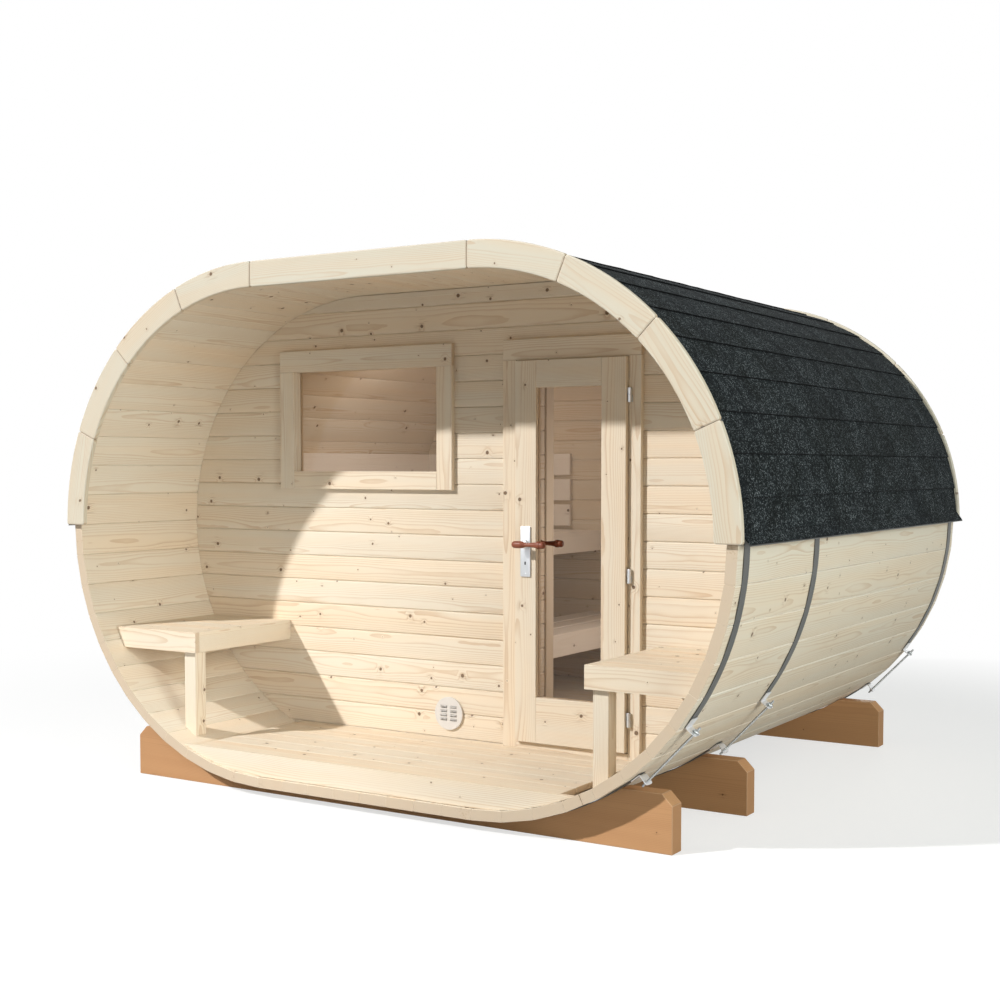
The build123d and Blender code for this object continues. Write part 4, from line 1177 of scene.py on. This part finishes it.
def lamp(name, place, aim, size, power, tone, spread=math.pi):
    """A soft area lamp that looks at a point, and isn't seen straight or through a pane."""
    data = bpy.data.lights.new(name, "AREA")
    data.color = tone
    data.shape = "DISK"
    data.size = size
    data.energy = power
    data.spread = spread
    made = bpy.data.objects.new(name, data)
    made.visible_camera = False
    made.visible_transmission = False
    made.location = place
    made.rotation_euler = (Vector(aim) - Vector(place)).to_track_quat("-Z", "Y").to_euler()
    bpy.context.scene.collection.objects.link(made)


def seen_directly(g):
    """One for rays that look at the background, straight or by a mirror or pane."""
    path = g.add("ShaderNodeLightPath").outputs
    seen = g.math("MAXIMUM", path["Is Camera Ray"], path["Is Glossy Ray"])
    return g.math("MAXIMUM", seen, path["Is Transmission Ray"])


def studio_floor():
    """A pale floor that keeps the shadow and fades to white away from the object."""
    material, g = new_material("studio_floor")
    place = g.place()
    low, high = [(grey, grey, grey, 1) for grey in FLOOR_GREYS]
    matt = g.add("ShaderNodeBsdfDiffuse", {"Color": g.mix(g.noise(place, scale=FLOOR_CLOUDS), low, high)})
    seen = seen_directly(g)
    lift = g.add("ShaderNodeEmission", {"Strength": g.times(seen, FLOOR_LIFT)})
    near = g.add("ShaderNodeAddShader", {0: matt.outputs[0], 1: lift.outputs[0]})
    away = g.add("ShaderNodeVectorMath", {0: place}, operation="LENGTH").outputs["Value"]
    fade = g.times(seen, g.ramp(away, *FLOOR_FADE))
    white = g.add("ShaderNodeEmission", {"Strength": 1.0})
    g.show(g.add("ShaderNodeMixShader", {0: fade, 1: near.outputs[0], 2: white.outputs[0]}))
    mesh = bmesh.new()
    bmesh.ops.create_grid(mesh, x_segments=2, y_segments=2, size=FLOOR_SIZE)
    to_object(mesh, "studio_floor", material)


def studio_world():
    """Even light from all round, on a white background."""
    world = bpy.data.worlds.new("studio")
    bpy.context.scene.world = world
    world.use_nodes = True
    g = Graph(world.node_tree)
    seen = seen_directly(g)
    strength = g.ramp(seen, 0.0, 1.0, WORLD_LIGHT, 1.0)
    tone = g.mix(seen, (*SKY_TONE, 1), (1, 1, 1, 1))
    back = g.add("ShaderNodeBackground", {"Color": tone, "Strength": strength})
    g.add("ShaderNodeOutputWorld", {"Surface": back.outputs[0]})


def stage():
    """Floor, world and soft lamps."""
    studio_floor()
    studio_world()
    for name, look in LAMPS.items():
        lamp(name, *look)


def camera():
    """The photograph's view."""
    data = bpy.data.cameras.new("camera")
    data.sensor_width = CAMERA_SENSOR
    data.lens = CAMERA_LENS
    data.shift_y = CAMERA_SHIFT_Y
    made = bpy.data.objects.new("camera", data)
    made.location = CAMERA_PLACE
    made.rotation_euler = [math.radians(turn) for turn in CAMERA_TURN]
    bpy.context.scene.collection.objects.link(made)
    bpy.context.scene.camera = made


def dress_timber():
    """Spruce for the building, a darker copy of it on the fascia boards as painted shade, paler inner
    benches, and brown beams for the cradles.
    """
    spruce = timber("spruce", **SPRUCE_LOOK)
    fascia = timber("fascia_spruce_painted_shade", **SHADED_FASCIA_LOOK)
    aspen = timber("bench_aspen", **BENCH_LOOK)
    treated = timber("treated_wood", **TREATED_LOOK)
    for node in STAVE_NODES + BOARD_NODES:
        dress(node, spruce, "spruce")
    for node in INNER_BENCH_NODES:
        dress(node, aspen, "spruce")
    for node in FASCIA_NODES:
        dress(node, fascia, "spruce", curved_grain, FASCIA_EDGE)
    for node in CRADLE_NODES:
        dress(node, treated, "treated_wood", edge=BEAM_EDGE)
    rebate(spruce)


def dress_metal():
    """Hoops, tensioners, drip edges, hinges, handles and vent."""
    zinc = steel("zinc_steel", *HOOP_ZINC)
    rods = steel("rod_steel", *ROD_STEEL)
    bright = steel("bright_zinc_steel", *BRIGHT_ZINC)
    satin = steel("satin_steel", *SATIN_STEEL)
    stained = timber("stained_wood", **STAINED_LOOK)
    plastic = moulded_plastic("white_plastic", *VENT_PLASTIC)
    # near-black plates that paint the shade inside the keyholes
    dark = moulded_plastic("keyhole_painted_shade", *KEYHOLE_SHADE)
    # grey plates that paint the shade in the vent's duct
    recess = moulded_plastic("vent_duct_painted_shade", *VENT_DUCT_SHADE)
    soften("hoops", zinc, "zinc_steel", HOOP_THICKNESS / 4)
    soften("drip_edges", zinc, "zinc_steel", HOOP_THICKNESS / 4)
    tensioners(bright, rods)
    hinges(satin)
    handles(satin, dark, stained)
    vent(plastic, recess)


dress_timber()
dress_metal()
roof(shingle_felt())
glass = tinted_glass()
for pane in GLASS_NODES:
    paint(pane, glass)
stage()
camera()
bpy.context.scene.view_settings.view_transform = "Standard"
